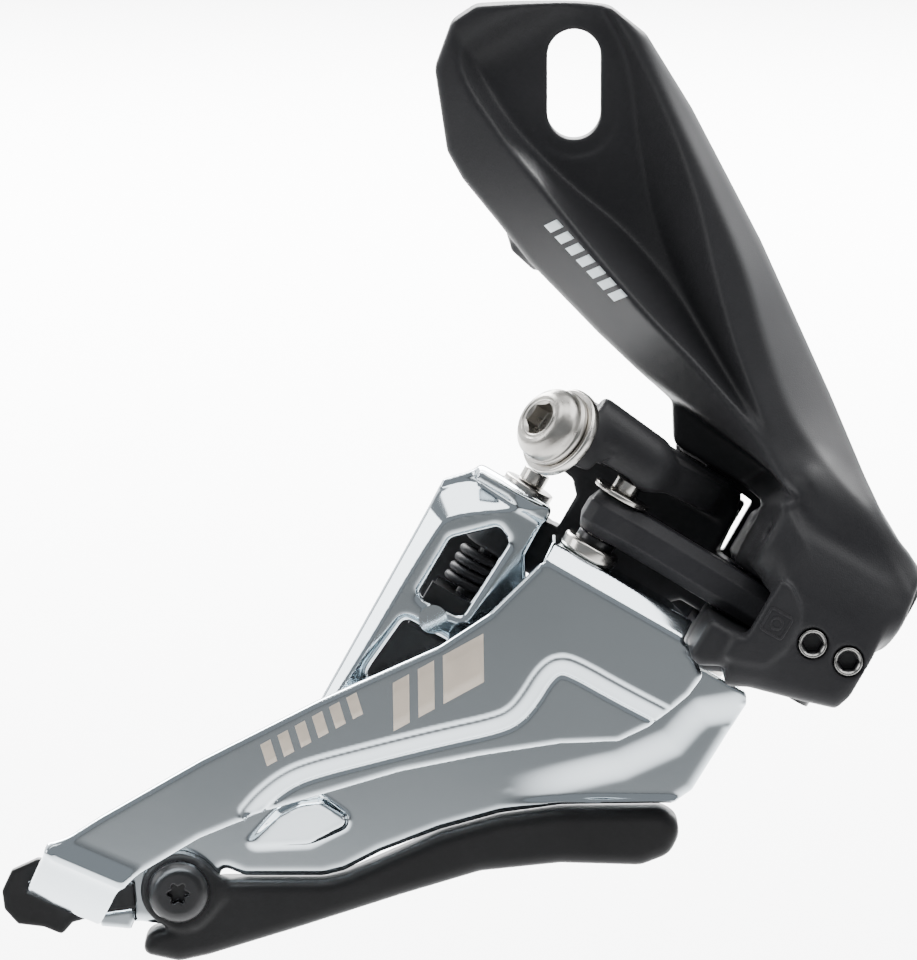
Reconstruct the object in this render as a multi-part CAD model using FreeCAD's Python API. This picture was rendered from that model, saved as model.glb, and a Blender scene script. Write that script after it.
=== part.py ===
import FreeCAD, Part
import math
import os

# Side-swing front derailleur for two chainrings, direct mount.
# Lengths are millimetres. Row frame: +X forward, +Y inboard towards the bicycle's centre
# plane, +Z up. The origin is the centre of the frame-bolt slot on the mounting face.
#
# The linkage is drawn in its own leaning frame (f, y, h): h runs along the four pivot pins,
# f runs forward across them, and y is the row's own Y. swing() puts it in the row frame.

# ---- driving dimensions -------------------------------------------------------------------
PIN_LEAN = 30.0            # forward lean of the pivot pins from vertical, degrees
PIVOT_X, PIVOT_Z = 4.4, -54.8    # row position of the linkage frame's origin
LINK_LENGTH = 32.7         # pin to pin, both links
LINK_REST = 12.0           # links point this far inboard at rest, degrees
SWING_RANGE = 20.0         # total swing of the links, degrees
OUTER_CAGE = (0.0, -21.5)  # pin places (f, y) at rest
INNER_CAGE = (-10.0, -8.5)
PIN_R = 1.5
RUNNING = 0.05             # radial clearance, pin in bush
BUSH_WALL = 0.6
FACE_GAP = 0.3             # axial gap between a link's knuckle and its fork

SLOT_W, SLOT_L = 7.0, 14.4       # frame-bolt slot
PLATE = 1.4                # cage sheet thickness
OUTER_FACE = -27.5         # outboard face of the outer cage plate
INNER_FACE = -14.5         # outboard face of the inner cage plate
FOLD_R = 2.5               # outer radius of the folded top edge

OUTER_LINK_H = 2.8         # half height of the outer link
OUTER_LINK_W = 3.0         # half thickness of its bar
OUTER_KNUCKLE_R = 4.4
HEEL_KNUCKLE_R = 3.8
INNER_KNUCKLE_R = 4.2
INNER_WEB_W = 2.4          # half thickness of the inner link's web

BARREL_R = 5.15            # cable entry barrel
BARREL_H, BARREL_Y = 9.6, -29.0
SOCKET_R, SOCKET_L = 2.55, 8.0
CABLE_R = 0.9

SCREW_R = 2.0              # limit screws
SCREW_HEX = 2.0
HIGH_SCREW = (29.4, 0.6)   # (f, h)
LOW_SCREW = (34.5, 0.9)
SCREW_TIP_Y, SCREW_END_Y = -32.25, -37.3

CLAMP_AT = (-11.9, -25.5, 6.9)   # centre of the cable washer's outer face
CLAMP_AXIS = (-0.81, -0.57, 0.12)
CLAMP_WASHER_R, CLAMP_HEAD_R = 6.0, 4.9
CLAMP_REACH = 4.4          # depth of the clamp bolt behind the washer's outer face

TORX_AT = (-52.0, -105.2)  # skid plate screw (x, z)
TORX_HEAD_R = 4.1

COIL_R, WIRE_R, COILS = 3.3, 0.6, 4.0

FLANGE_TOP = -3.9          # top face of the flange that holds the inner cage pin (h)
SUPPORT_TOP = -20.0        # top face of the lower pin support (h)
RIVET_R = 1.1
BRIDGE_RIVETS = ((-2.0, -16.4), (2.0, -16.4))      # (f, h)
SUPPORT_RIVETS = ((-12.6, -24.0), (-8.0, -24.0))   # (f, h)
TAIL_RIVET = (-68.2, -103.3)                       # (x, z)

TAIL_FOLD = ((-68.9, -98.0), (-59.0, -102.3))
TAIL_RUN = (-3.4, -7.4)    # how far the folded tail drops, (x, z)
TAIL_BLOCK_Y = -16.4       # outboard face of the tail block
TAIL_FOOT_Y = -17.9        # outboard face of the folded tail where it meets the tail block
SKID_OUT, SKID_IN = -17.2, -10.4

# Thin wall behind the inner link, (f, h), and the two slits that meet in its corner.
BACK_WALL = [(4.5, 13.6), (18.5, 13.6), (18.5, -10.0), (12.6, -10.0), (12.6, -2.6),
             (9.0, 2.0), (9.0, 10.9), (4.5, 10.9)]
BACK_WALL_Y = (-9.8, -7.6)
BACK_LIP = [(2.4, 14.0), (10.0, 14.0), (10.0, 8.0), (5.8, 8.0)]
BACK_LIP_Y = (-8.6, -6.4)
BACK_WALL_SLITS = [[(15.7, 2.2), (16.4, 2.2), (16.4, 9.8), (15.7, 9.8)],
                   [(14.7, 9.2), (16.4, 9.2), (16.4, 9.8), (14.7, 9.8)]]

COVER_IN_Y, COVER_WALL = -2.2, 1.0       # spring cover, (f, h) outlines
COVER_OUTLINE = [(-16.6, -8.5), (-5.2, -8.5), (-5.2, -26.0), (-8.5, -40.6), (-17.2, -40.6),
                 (-17.9, -28.0)]
COVER_FOOT = [(-10.0, -39.0), (-15.8, -39.0), (-15.8, -40.6), (-10.0, -40.6)]

V = FreeCAD.Vector
LEAN = FreeCAD.Placement(V(PIVOT_X, 0, PIVOT_Z), FreeCAD.Rotation(V(0, 1, 0), PIN_LEAN))
REST = math.radians(LINK_REST)
OUTER_BASE = (OUTER_CAGE[0] + LINK_LENGTH * math.cos(REST),
              OUTER_CAGE[1] - LINK_LENGTH * math.sin(REST))
INNER_BASE = (INNER_CAGE[0] + LINK_LENGTH * math.cos(REST),
              INNER_CAGE[1] - LINK_LENGTH * math.sin(REST))
BUSH_R = PIN_R + RUNNING + BUSH_WALL


# ---- shape helpers ------------------------------------------------------------------------
def swing(shape):
    """Move a shape from the linkage frame to the row frame."""
    placed = shape.copy()
    placed.Placement = LEAN.multiply(placed.Placement)
    return placed


def row_point(f, h):
    """Row (x, z) of a linkage-frame (f, h)."""
    p = LEAN.multVec(V(f, 0, h))
    return (p.x, p.z)


def loop(points, radius=0.0):
    """Closed wire through 3-D points, its corners rounded where the edges allow it."""
    if radius <= 0:
        return Part.makePolygon(points + [points[0]])
    edges = []
    starts = []
    ends = []
    for i, p in enumerate(points):
        back = points[i - 1] - p
        ahead = points[(i + 1) % len(points)] - p
        half = back.getAngle(ahead) / 2
        cut = min(radius / math.tan(half), 0.45 * back.Length, 0.45 * ahead.Length)
        a = p + V(back).normalize() * cut
        b = p + V(ahead).normalize() * cut
        if math.pi / 2 - half < 0.02:
            a = p
            b = p
        starts.append(a)
        ends.append(b)
    for i, p in enumerate(points):
        a, b = starts[i], ends[i]
        if (a - b).Length > 0.01:
            half = (a - p).getAngle(b - p) / 2
            to_centre = ((a - p) + (b - p)).normalize()
            r = (a - p).Length * math.tan(half)
            mid = p + to_centre * ((a - p).Length / math.cos(half) - r)
            edges.append(Part.Arc(a, mid, b).toShape())
        following = starts[(i + 1) % len(points)]
        if (b - following).Length > 0.01:
            edges.append(Part.LineSegment(b, following).toShape())
    return Part.Wire(edges)


def across(points, y0, y1, radius=0.0):
    """Prism along Y over an outline in the first and third axes."""
    wire = loop([V(a, y0, b) for a, b in points], radius)
    return Part.Face(wire).extrude(V(0, y1 - y0, 0))


def along_h(points, h0, h1, radius=0.0):
    """Prism along the third axis over an outline in the first and second."""
    wire = loop([V(a, b, h0) for a, b in points], radius)
    return Part.Face(wire).extrude(V(0, 0, h1 - h0))


def rod(at, axis, radius, length):
    return Part.makeCylinder(radius, length, V(*at), V(*axis))


def post(place, radius, h0, h1):
    """Cylinder along h at a pin place (f, y)."""
    return rod((place[0], place[1], h0), (0, 0, 1), radius, h1 - h0)


def tube(place, outer, inner, h0, h1):
    return post(place, outer, h0, h1).cut(post(place, inner, h0 - 1, h1 + 1))


def hexagon(at, axis, across_flats, depth):
    """Hexagonal prism for a key socket, drawn along any axis."""
    r = across_flats / math.sqrt(3)
    corners = [V(r * math.cos(math.radians(60 * k)), r * math.sin(math.radians(60 * k)), 0)
               for k in range(6)]
    prism = Part.Face(loop(corners)).extrude(V(0, 0, depth))
    prism.Placement = FreeCAD.Placement(V(*at), FreeCAD.Rotation(V(0, 0, 1), V(*axis)))
    return prism


def bar(a, b, half, h0, h1, beyond_a=0.0, beyond_b=0.0):
    """Straight bar between two pin places, drawn along h."""
    run = V(b[0] - a[0], b[1] - a[1], 0).normalize()
    side = V(-run.y, run.x, 0) * half
    start = V(a[0], a[1], 0) - run * beyond_a
    stop = V(b[0], b[1], 0) + run * beyond_b
    corners = [start - side, stop - side, stop + side, start + side]
    return along_h([(c.x, c.y) for c in corners], h0, h1)


def join(shapes):
    whole = shapes[0]
    for other in shapes[1:]:
        whole = whole.fuse(other)
    return whole.removeSplitter()


def take(shape, cutters):
    for cutter in cutters:
        shape = shape.cut(cutter)
    return shape


# ---- mounting bracket ---------------------------------------------------------------------
ARM_DIR = V(0.478, 0, -0.878)    # the arm runs down and forward from the slot
ARM_SIDE = V(0.878, 0, 0.478)    # across the arm, towards the front

# Arm outline seen from outboard, (x, z).
ARM_OUTLINE = [(-18.0, 2.1), (-15.8, 8.2), (-12.8, 10.2), (-2.0, 10.9), (4.6, 10.0),
               (9.3, 6.3), (15.3, -3.4), (24.4, -20.7), (33.3, -40.2), (39.0, -53.6),
               (42.3, -59.2), (40.6, -63.5), (30.0, -60.0), (24.9, -53.3), (13.4, -48.6),
               (13.2, -41.0), (3.4, -32.2), (-5.6, -23.2), (-9.7, -18.0), (-14.4, -12.3),
               (-16.4, -8.7)]

# Sections across the arm: distance along it, back face, left edge, left crest, floor left,
# floor right, right crest, land, right edge. Each is (across, y) but the first two.
ARM_SECTIONS = [
    (-19.0, 1.0, (-21.0, -3.0), (-10.0, -6.0), (-9.0, -6.0), (8.0, -6.0), (9.0, -6.0),
     (10.5, -6.0), (13.0, -3.0)),
    (-12.6, 1.0, (-21.0, -3.0), (-11.0, -6.0), (-9.8, -5.9), (7.6, -5.9), (9.0, -6.0),
     (10.5, -6.0), (13.0, -3.0)),
    (-9.4, 1.0, (-21.0, -3.0), (-12.0, -6.4), (-10.0, -4.0), (7.8, -4.0), (9.2, -6.0),
     (10.5, -6.0), (13.0, -3.0)),
    (0.0, 1.0, (-21.0, -3.0), (-11.6, -8.0), (-9.8, -4.0), (7.6, -4.0), (9.3, -6.5),
     (10.5, -6.5), (13.0, -3.0)),
    (10.0, 1.0, (-20.0, -3.0), (-9.6, -12.5), (-7.4, -4.5), (4.0, -4.5), (8.8, -10.0),
     (10.0, -10.0), (13.5, -3.0)),
    (20.0, -0.6, (-17.5, -3.6), (-7.8, -16.5), (-3.4, -6.5), (1.0, -6.5), (7.2, -14.3),
     (9.4, -14.3), (13.5, -5.5)),
    (30.0, -2.8, (-14.0, -6.6), (-5.5, -19.5), (-1.2, -11.0), (-0.1, -11.0), (4.4, -18.5),
     (8.4, -18.5), (13.0, -8.0)),
    (40.0, -6.0, (-11.0, -10.0), (-2.4, -23.3), (-0.6, -18.0), (0.2, -18.0), (2.2, -23.0),
     (6.3, -22.3), (12.5, -11.5)),
    (50.0, -9.6, (-8.5, -12.5), (-0.4, -27.5), (0.3, -27.4), (0.7, -27.4), (1.2, -27.5),
     (4.8, -26.8), (12.0, -15.5)),
    (64.0, -12.5, (-7.5, -14.5), (-1.0, -33.0), (0.0, -33.0), (0.5, -33.0), (1.0, -33.0),
     (3.0, -33.0), (11.0, -20.5)),
    (78.0, -14.0, (-7.5, -15.5), (-1.0, -34.0), (0.0, -34.0), (0.5, -34.0), (1.0, -34.0),
     (2.5, -34.0), (11.0, -22.0)),
]


def arm_loft():
    """Dished arm: a ruled loft through its cross sections."""
    wires = []
    for along, back, *front in ARM_SECTIONS:
        outline = [(front[0][0], back)] + list(front) + [(front[-1][0], back)]
        points = [ARM_DIR * along + ARM_SIDE * a + V(0, y, 0) for a, y in outline]
        wires.append(loop(points))
    return Part.makeLoft(wires, True, True)


def mount_bracket():
    """Dished arm, the forked body that holds the base pins, and the cable entry barrel."""
    arm = arm_loft().common(across(ARM_OUTLINE, 0, -45, 1.5))

    # Body round the base pins, in the linkage frame.
    side = [(16.3, 12.0), (16.3, -9.6), (20.3, -11.2), (25.3, -8.6), (32.2, -6.7),
            (36.5, -5.4), (37.6, -3.0), (37.6, 14.0), (34.0, 15.0), (20.0, 14.0)]
    plan = [(16.3, -9.4), (16.3, -24.0), (21.8, -26.0), (21.8, -37.3), (37.6, -37.3),
            (37.6, -20.0), (30.5, -9.4)]
    body = across(side, -37.3, -9.4, 1.5).common(along_h(plan, -13, 17, 2.0))
    shoulder = [(-41, 4.6), (-41, 18), (-31, 18), (-31, 14.0), (-37.3, 7.4)]
    wedge = Part.Face(loop([V(15, y, h) for y, h in shoulder])).extrude(V(30, 0, 0))
    body = body.cut(wedge)
    barrel = rod((18.0, BARREL_Y, BARREL_H), (1, 0, 0), BARREL_R, 19.8)
    bump = across([(-9.6, -19.4), (-8.9, -22.6), (-5.6, -25.4), (-3.6, -23.6)], -2.8, -0.2, 0.6)
    whole = join([arm, swing(body), swing(barrel), bump])

    # Fork openings for the links, the cable bore and the screw holes.
    outer_pocket = [(5.0, -34.3), (21.9, -34.3), (28.0, -33.0), (36.1, -33.0), (36.1, -24.0),
                    (27.6, -20.0), (5.0, -15.0)]
    inner_pocket = [(5.0, -21.0), (27.2, -21.0), (27.2, -6.0), (5.0, -6.0)]
    h_out = OUTER_LINK_H + FACE_GAP
    cutters = [
        along_h(outer_pocket, -h_out, h_out),
        along_h(inner_pocket, -5.8, 2.6),
        along_h([(5, -50), (16.2, -50), (16.2, -26.1), (16.2, 0), (5, 0)], -12, 11.4),
        post(OUTER_BASE, PIN_R, -12, 6.0),
        post(INNER_BASE, PIN_R, -13, 9.0),
        rod((0, BARREL_Y, BARREL_H), (1, 0, 0), CABLE_R + 0.3, 60),
        rod((38.0 - SOCKET_L, BARREL_Y, BARREL_H), (1, 0, 0), SOCKET_R + 0.6, 20),
    ]
    for f, h in (HIGH_SCREW, LOW_SCREW):
        cutters.append(rod((f, -45, h), (0, 1, 0), SCREW_R + 0.05, 14))
    whole = take(whole, [swing(c) for c in cutters])
    wall = across(BACK_WALL, *BACK_WALL_Y, 0.6)
    wall = take(wall, [across(cut, BACK_WALL_Y[0] - 1, BACK_WALL_Y[1] + 1)
                       for cut in BACK_WALL_SLITS])
    wall = join([wall, across(BACK_LIP, *BACK_LIP_Y, 0.6)])
    whole = join([whole, swing(wall)])
    whole = whole.cut(frame_bolt_slot())
    return max(whole.Solids, key=lambda s: s.Volume)


def frame_bolt_slot():
    r = SLOT_W / 2
    run = (SLOT_L - SLOT_W) / 2
    ends = [rod((0, -20, z), (0, 1, 0), r, 30) for z in (-run, run)]
    return join(ends + [Part.makeBox(SLOT_W, 30, 2 * run, V(-r, -20, -run))])


def cable_entry_liner():
    """Plastic socket pressed in the barrel's mouth; the cable housing ends in it."""
    sleeve = rod((38.0 - SOCKET_L, BARREL_Y, BARREL_H), (1, 0, 0), SOCKET_R + 0.6, SOCKET_L)
    flange = rod((38.0, BARREL_Y, BARREL_H), (1, 0, 0), SOCKET_R + 1.3, 0.6)
    bore = rod((38.0 - SOCKET_L + 0.8, BARREL_Y, BARREL_H), (1, 0, 0), SOCKET_R, 20)
    wire_way = rod((20, BARREL_Y, BARREL_H), (1, 0, 0), CABLE_R, 30)
    return swing(take(join([sleeve, flange]), [bore, wire_way]))


def limit_screw(place):
    """Headless socket screw with a plain dog point that meets the outer link."""
    f, h = place
    thread = rod((f, SCREW_END_Y - 0.3, h), (0, 1, 0), SCREW_R, 4.0)
    point = rod((f, SCREW_END_Y, h), (0, 1, 0), 0.8, SCREW_TIP_Y - SCREW_END_Y)
    neck = Part.makeCone(SCREW_R, 0.9, 0.9, V(f, SCREW_END_Y + 3.7, h), V(0, 1, 0))
    key = hexagon((f, SCREW_END_Y - 0.4, h), (0, 1, 0), SCREW_HEX, 2.1)
    return swing(join([thread, neck, point]).cut(key))


def base_pin(place, low, high):
    """Pin fixed in the bracket's fork, its lower end slightly upset."""
    shank = post(place, PIN_R, low, high)
    foot = post(place, PIN_R + 0.5, low - 0.6, low)
    return swing(join([shank, foot]))


# ---- links --------------------------------------------------------------------------------
def outer_link():
    """Short thick bar between the outer pins; both limit screws meet its heel."""
    h = OUTER_LINK_H
    solid = join([
        post(OUTER_CAGE, OUTER_KNUCKLE_R, -h, h),
        post(OUTER_BASE, HEEL_KNUCKLE_R, -h, h),
        bar(OUTER_CAGE, OUTER_BASE, OUTER_LINK_W, -h, h, 0, 3.5),
    ])
    solid = solid.common(along_h([(-6, -45), (35.7, -45), (35.7, 0), (-6, 0)], -4, 4))
    bores = [post(p, BUSH_R, -5, 5) for p in (OUTER_CAGE, OUTER_BASE)]
    return swing(take(solid, bores))


def outer_link_bushes():
    h = OUTER_LINK_H
    return Part.makeCompound([swing(tube(p, BUSH_R, PIN_R + RUNNING, -h, h))
                              for p in (OUTER_CAGE, OUTER_BASE)])


P1_LOW, P1_TOP = -13.0, -5.6     # inner link's knuckle on the cage pin
B1_LOW, B1_TOP = -5.5, 2.3       # its knuckle on the base pin


def link_slab(outline, half):
    """Slab in the inner link's own plane: outline is (distance from the cage pin, h)."""
    slab = Part.Face(loop([V(u, -half, h) for u, h in outline], 0.8)).extrude(V(0, 2 * half, 0))
    slab.rotate(V(0, 0, 0), V(0, 0, 1), -LINK_REST)
    slab.translate(V(INNER_CAGE[0], INNER_CAGE[1], 0))
    return slab


def clamp_point(back, drop=0.0):
    """Point on the clamp bolt's axis, back behind the washer's outer face."""
    a = V(*CLAMP_AXIS).normalize()
    p = V(*CLAMP_AT) - a * back
    return (p.x, p.y, p.z - drop)


def inner_link():
    """Web between the inner pins, with the shelf and boss that carry the cable clamp."""
    web = [(0, P1_LOW), (17.5, P1_LOW), (25.0, B1_LOW), (LINK_LENGTH, B1_LOW),
           (LINK_LENGTH, B1_TOP), (25.9, B1_TOP), (25.9, 10.6), (-1.6, 10.6), (-1.6, 2.6),
           (0.0, 1.4), (4.6, 0.8), (6.2, -0.8), (6.2, P1_TOP), (0, P1_TOP)]
    shelf = [(-9.6, -9.6), (-9.6, -22.5), (-7.0, -25.0), (3.0, -24.0), (11.0, -19.0),
             (14.4, -15.0), (13.8, -11.6)]
    axis = V(*CLAMP_AXIS).normalize()
    seat = rod(clamp_point(5.6), axis, 4.6, 4.2)
    boss = join([rod((-8.8, -22.5, 9.8), (1, 0, 0), 3.6, 10.2),
                 Part.makeSphere(3.6, V(1.4, -22.5, 9.8))])
    solid = join([
        post(INNER_CAGE, INNER_KNUCKLE_R, P1_LOW, P1_TOP),
        post(INNER_BASE, INNER_KNUCKLE_R, B1_LOW, B1_TOP),
        link_slab(web, INNER_WEB_W),
        along_h(shelf, 6.4, 10.6, 1.0),
        boss,
        seat,
    ])
    cutters = cage_pin_sweep() + [
        post(INNER_BASE, 6.3, B1_TOP, 12.0),
        post(INNER_CAGE, 5.2, P1_TOP, 0.4),
        rod(clamp_point(1.4), axis, CLAMP_WASHER_R + 0.6, 9),
        post(INNER_CAGE, BUSH_R, -20, 0),
        post(INNER_BASE, BUSH_R, -20, B1_TOP + 0.1),
        rod(clamp_point(CLAMP_REACH), axis, 2.0, 12),
    ]
    solid = take(solid, cutters)
    return swing(max(solid.Solids, key=lambda s: s.Volume))


def cage_pin_sweep():
    """Room for the outer link's end and its pin as the linkage swings."""
    room = []
    f, y = OUTER_CAGE[0] - INNER_CAGE[0], OUTER_CAGE[1] - INNER_CAGE[1]
    for k in range(5):
        turn = -math.radians(SWING_RANGE) * k / 4
        place = (INNER_CAGE[0] + f * math.cos(turn) - y * math.sin(turn),
                 INNER_CAGE[1] + f * math.sin(turn) + y * math.cos(turn))
        room.append(post(place, OUTER_KNUCKLE_R + 0.45, -8.0, 4.1))
        room.append(post(place, PIN_R + 0.7, 4.0, 5.9))
    return room


def inner_link_bushes():
    return Part.makeCompound([
        swing(tube(INNER_CAGE, BUSH_R, PIN_R + RUNNING, P1_LOW, P1_TOP)),
        swing(tube(INNER_BASE, BUSH_R, PIN_R + RUNNING, B1_LOW, B1_TOP)),
    ])


def cable_clamp_washer():
    """Thick round washer that pinches the cable, its rim chamfered."""
    axis = V(*CLAMP_AXIS).normalize()
    disc = rod(clamp_point(1.4), axis, CLAMP_WASHER_R, 0.9)
    rim = Part.makeCone(CLAMP_WASHER_R, CLAMP_WASHER_R - 0.5, 0.5, V(*clamp_point(0.5)), axis)
    return swing(join([disc, rim]).cut(rod(clamp_point(4), axis, 2.25, 8)))


def cable_clamp_bolt():
    axis = V(*CLAMP_AXIS).normalize()
    collar = rod(clamp_point(0.0), axis, CLAMP_HEAD_R + 0.3, 0.8)
    head = rod(clamp_point(-0.8), axis, CLAMP_HEAD_R, 1.9)
    crown = Part.makeCone(CLAMP_HEAD_R, 3.4, 1.1, V(*clamp_point(-2.7)), axis)
    neck = rod(clamp_point(1.4), axis, 2.25, 1.4)
    shank = rod(clamp_point(CLAMP_REACH), axis, 2.0, CLAMP_REACH)
    key = hexagon(clamp_point(-1.4), axis, 4.0, 4.0)
    return swing(join([collar, head, crown, neck, shank]).cut(key))


# ---- cage ---------------------------------------------------------------------------------
# Outer plate seen from outboard (x, z), clockwise from the rear end of its folded top edge.
OUTER_PLATE = [(-4.5, -60.1), (13.8, -70.2), (15.7, -73.0), (16.5, -74.8), (14.6, -77.4),
               (9.6, -81.6), (5.6, -83.6), (-2.0, -83.9), (-12.4, -85.5), (-22.8, -87.6),
               (-41.6, -93.2), (-48.8, -96.2), (-59.0, -102.3), (-68.9, -98.0),
               (-61.7, -93.4), (-48.7, -85.9), (-33.4, -78.1), (-17.6, -70.9),
               (-11.1, -66.6)]


def fold_line(f):
    """Row (x, z) of the outer plate's top fold."""
    return row_point(f, -8.5)


def cage_outer_plate():
    """Outer plate, its folded top flange that carries the pin, and its folded tail."""
    sheet = across([fold_line(-5.0), fold_line(15.9)] + OUTER_PLATE[2:],
                   OUTER_FACE, OUTER_FACE + PLATE, 1.2)
    top = -8.5 + FOLD_R
    centre = (0, OUTER_FACE + FOLD_R, -8.5)
    bend = rod((-5.0, centre[1], centre[2]), (1, 0, 0), FOLD_R, 20.9)
    bend = bend.cut(rod((-6.0, centre[1], centre[2]), (1, 0, 0), FOLD_R - PLATE, 30))
    bend = bend.common(Part.makeBox(30, FOLD_R, FOLD_R, V(-6.0, OUTER_FACE, -8.5)))
    flange = [(-5.0, centre[1]), (15.9, centre[1]), (15.3, -23.6), (13.0, -17.6),
              (4.0, -17.2), (4.0, -15.9), (-4.0, -15.9), (-5.0, -18.0)]
    shelf = along_h(flange, top - PLATE, top)
    leg = across([(-4, top), (4, top), (4, -18.2), (-4, -18.2)],
                 INNER_FACE - PLATE, INNER_FACE)
    linkage = join([bend, shelf, leg])
    linkage = take(linkage, [post(OUTER_CAGE, PIN_R, -12, 0)])
    for f, h in BRIDGE_RIVETS:
        linkage = linkage.cut(rod((f, -18, h), (0, 1, 0), RIVET_R, 6))
    whole = join([sheet, swing(linkage), folded_tail(), tail_tongue()])
    return max(whole.Solids, key=lambda s: s.Volume)


def folded_tail():
    """Slab from the tail fold line inboard to the tail block."""
    a, b = [V(x, OUTER_FACE, z) for x, z in TAIL_FOLD]
    run = V(TAIL_RUN[0], TAIL_FOOT_Y - OUTER_FACE, TAIL_RUN[1])
    face = Part.Face(loop([a, b, b + run, a + run]))
    normal = (b - a).cross(run).normalize()
    if normal.y < 0:
        normal = normal * -1
    return face.extrude(normal * PLATE)


def tail_tongue(extra=0.0):
    """Tongue from the folded tail through the tail block and the inner plate."""
    a, b = [V(x, 0, z) for x, z in TAIL_FOLD]
    run = V(TAIL_RUN[0], 0, TAIL_RUN[1])
    along = b - a
    up = V(run).normalize() * -(PLATE + extra)
    low = V(run).normalize() * extra
    p = a + run + along * 0.36
    q = a + run + along * 0.74
    corners = [p + low, q + low, q + up, p + up]
    return across([(c.x, c.z) for c in corners], TAIL_FOOT_Y + 0.2, INNER_FACE + PLATE)


# Inner plate seen from outboard (x, z), clockwise from its top rear corner.
INNER_PLATE = [row_point(-20.4, -7.8), row_point(-16.7, -3.9), row_point(-6.5, -3.9),
               row_point(-6.3, -10.7), row_point(-4.5, -13.6), row_point(13.0, -13.6),
               row_point(15.0, -12.0), row_point(28.0, -12.0), (22.7, -80.8),
               (15.6, -92.4), (13.2, -94.0), (-1.8, -94.2), (-9.7, -95.3), (-17.6, -97.5),
               (-25.5, -100.5), (-30.2, -103.0), (-33.0, -103.7), (-43.3, -103.7),
               (-46.4, -102.4), (-47.4, -108.0), (-52.0, -110.6), (-57.2, -109.8),
               (-62.0, -110.2), (-64.0, -107.6), (-71.6, -107.0), (-72.0, -103.6),
               (-60.0, -96.4), (-46.0, -88.5), (-34.0, -81.5)]
WINDOW_UPPER = [(-20.4, -66.0), (-16.2, -58.8), (-9.9, -57.2), (-8.5, -59.2), (-14.8, -69.2),
                (-19.6, -66.9)]
WINDOW_LOWER = [(-28.4, -78.0), (-22.3, -69.3), (-16.2, -72.6), (-18.0, -74.0)]


def cage_inner_plate():
    """Inner plate with two windows and the flange that holds the long pin."""
    sheet = across(INNER_PLATE, INNER_FACE, INNER_FACE + PLATE, 1.0)
    windows = [across(w, INNER_FACE - 2, INNER_FACE + 4, 0.9)
               for w in (WINDOW_UPPER, WINDOW_LOWER)]
    flange = [(-17.0, INNER_FACE), (-6.5, INNER_FACE), (-6.3, -6.5), (-8.2, -4.4),
              (-11.8, -4.4), (-17.0, -10.0)]
    top = pin_flange(flange)
    lip = along_h([(-18.6, INNER_FACE), (-17.0, INNER_FACE), (-17.0, -11.0),
                   (-18.6, -12.2)], -6.6, -5.2)
    sheet = take(sheet, windows)
    whole = join([sheet, swing(top), swing(lip)])
    holes = [swing(post(INNER_CAGE, PIN_R, -8, 0))]
    holes += [swing(rod((f, -18, h), (0, 1, 0), RIVET_R, 8))
              for f, h in BRIDGE_RIVETS + SUPPORT_RIVETS]
    holes += [rod((TORX_AT[0], -20, TORX_AT[1]), (0, 1, 0), 2.0, 12),
              rod((TAIL_RIVET[0], -20, TAIL_RIVET[1]), (0, 1, 0), RIVET_R, 12)]
    whole = take(whole, holes + [tail_tongue(0.02)])
    return max(whole.Solids, key=lambda s: s.Volume)


def pin_flange(plan):
    return along_h(plan, FLANGE_TOP - PLATE, FLANGE_TOP)


def lower_pin_support():
    """Pressed steel ear behind the inner plate that holds the foot of the long pin."""
    shelf = [(-14.6, -13.1), (-5.4, -13.1), (-5.8, -6.5), (-8.0, -4.4), (-12.0, -4.4),
             (-14.2, -6.5)]
    arm = along_h(shelf, SUPPORT_TOP - PLATE, SUPPORT_TOP, 0.8)
    tab = across([(-15.0, SUPPORT_TOP), (-15.0, -26.4), (-5.4, -26.4), (-5.4, SUPPORT_TOP)],
                 INNER_FACE + PLATE, INNER_FACE + 2 * PLATE)
    solid = join([arm, tab])
    holes = [post(INNER_CAGE, PIN_R, -26, -16)]
    holes += [rod((f, -18, h), (0, 1, 0), RIVET_R, 10) for f, h in SUPPORT_RIVETS]
    return swing(take(solid, holes))


def rivet(place, y0, y1):
    """Pan rivet through two sheets, a low head on each side."""
    f, h = place
    shank = rod((f, y0, h), (0, 1, 0), RIVET_R, y1 - y0)
    heads = [rod((f, y0 - 0.7, h), (0, 1, 0), RIVET_R + 0.8, 0.7),
             rod((f, y1, h), (0, 1, 0), RIVET_R + 0.8, 0.6)]
    return join([shank] + heads)


def bridge_rivets():
    y0, y1 = INNER_FACE - PLATE, INNER_FACE + PLATE
    return Part.makeCompound([swing(rivet(p, y0, y1)) for p in BRIDGE_RIVETS])


def support_rivets():
    y0, y1 = INNER_FACE, INNER_FACE + 2 * PLATE
    return Part.makeCompound([swing(rivet(p, y0, y1)) for p in SUPPORT_RIVETS])


def outer_cage_pin():
    """Headed pin through the outer link, upset under the folded flange."""
    return swing(join([
        post(OUTER_CAGE, PIN_R, -8.0, 5.0),
        post(OUTER_CAGE, PIN_R + 0.3, 3.7, 5.5),
        post(OUTER_CAGE, PIN_R + 0.7, -8.4, -7.4),
    ]))


def outer_pin_washer():
    return swing(tube(OUTER_CAGE, 3.9, PIN_R, OUTER_LINK_H + 0.1, 3.7))


def outer_pin_spacer():
    """Turned spacer between the folded flange and the link."""
    return swing(join([tube(OUTER_CAGE, 3.9, PIN_R, -6.0, -4.0),
                       tube(OUTER_CAGE, 2.6, PIN_R, -4.0, -OUTER_LINK_H - 0.1)]))


def inner_cage_pin():
    return swing(join([
        post(INNER_CAGE, PIN_R, -22.4, -1.5),
        post(INNER_CAGE, PIN_R + 0.3, -2.9, -0.9),
    ]))


def inner_pin_washer():
    return swing(tube(INNER_CAGE, 3.5, PIN_R, FLANGE_TOP, -2.9))


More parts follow.
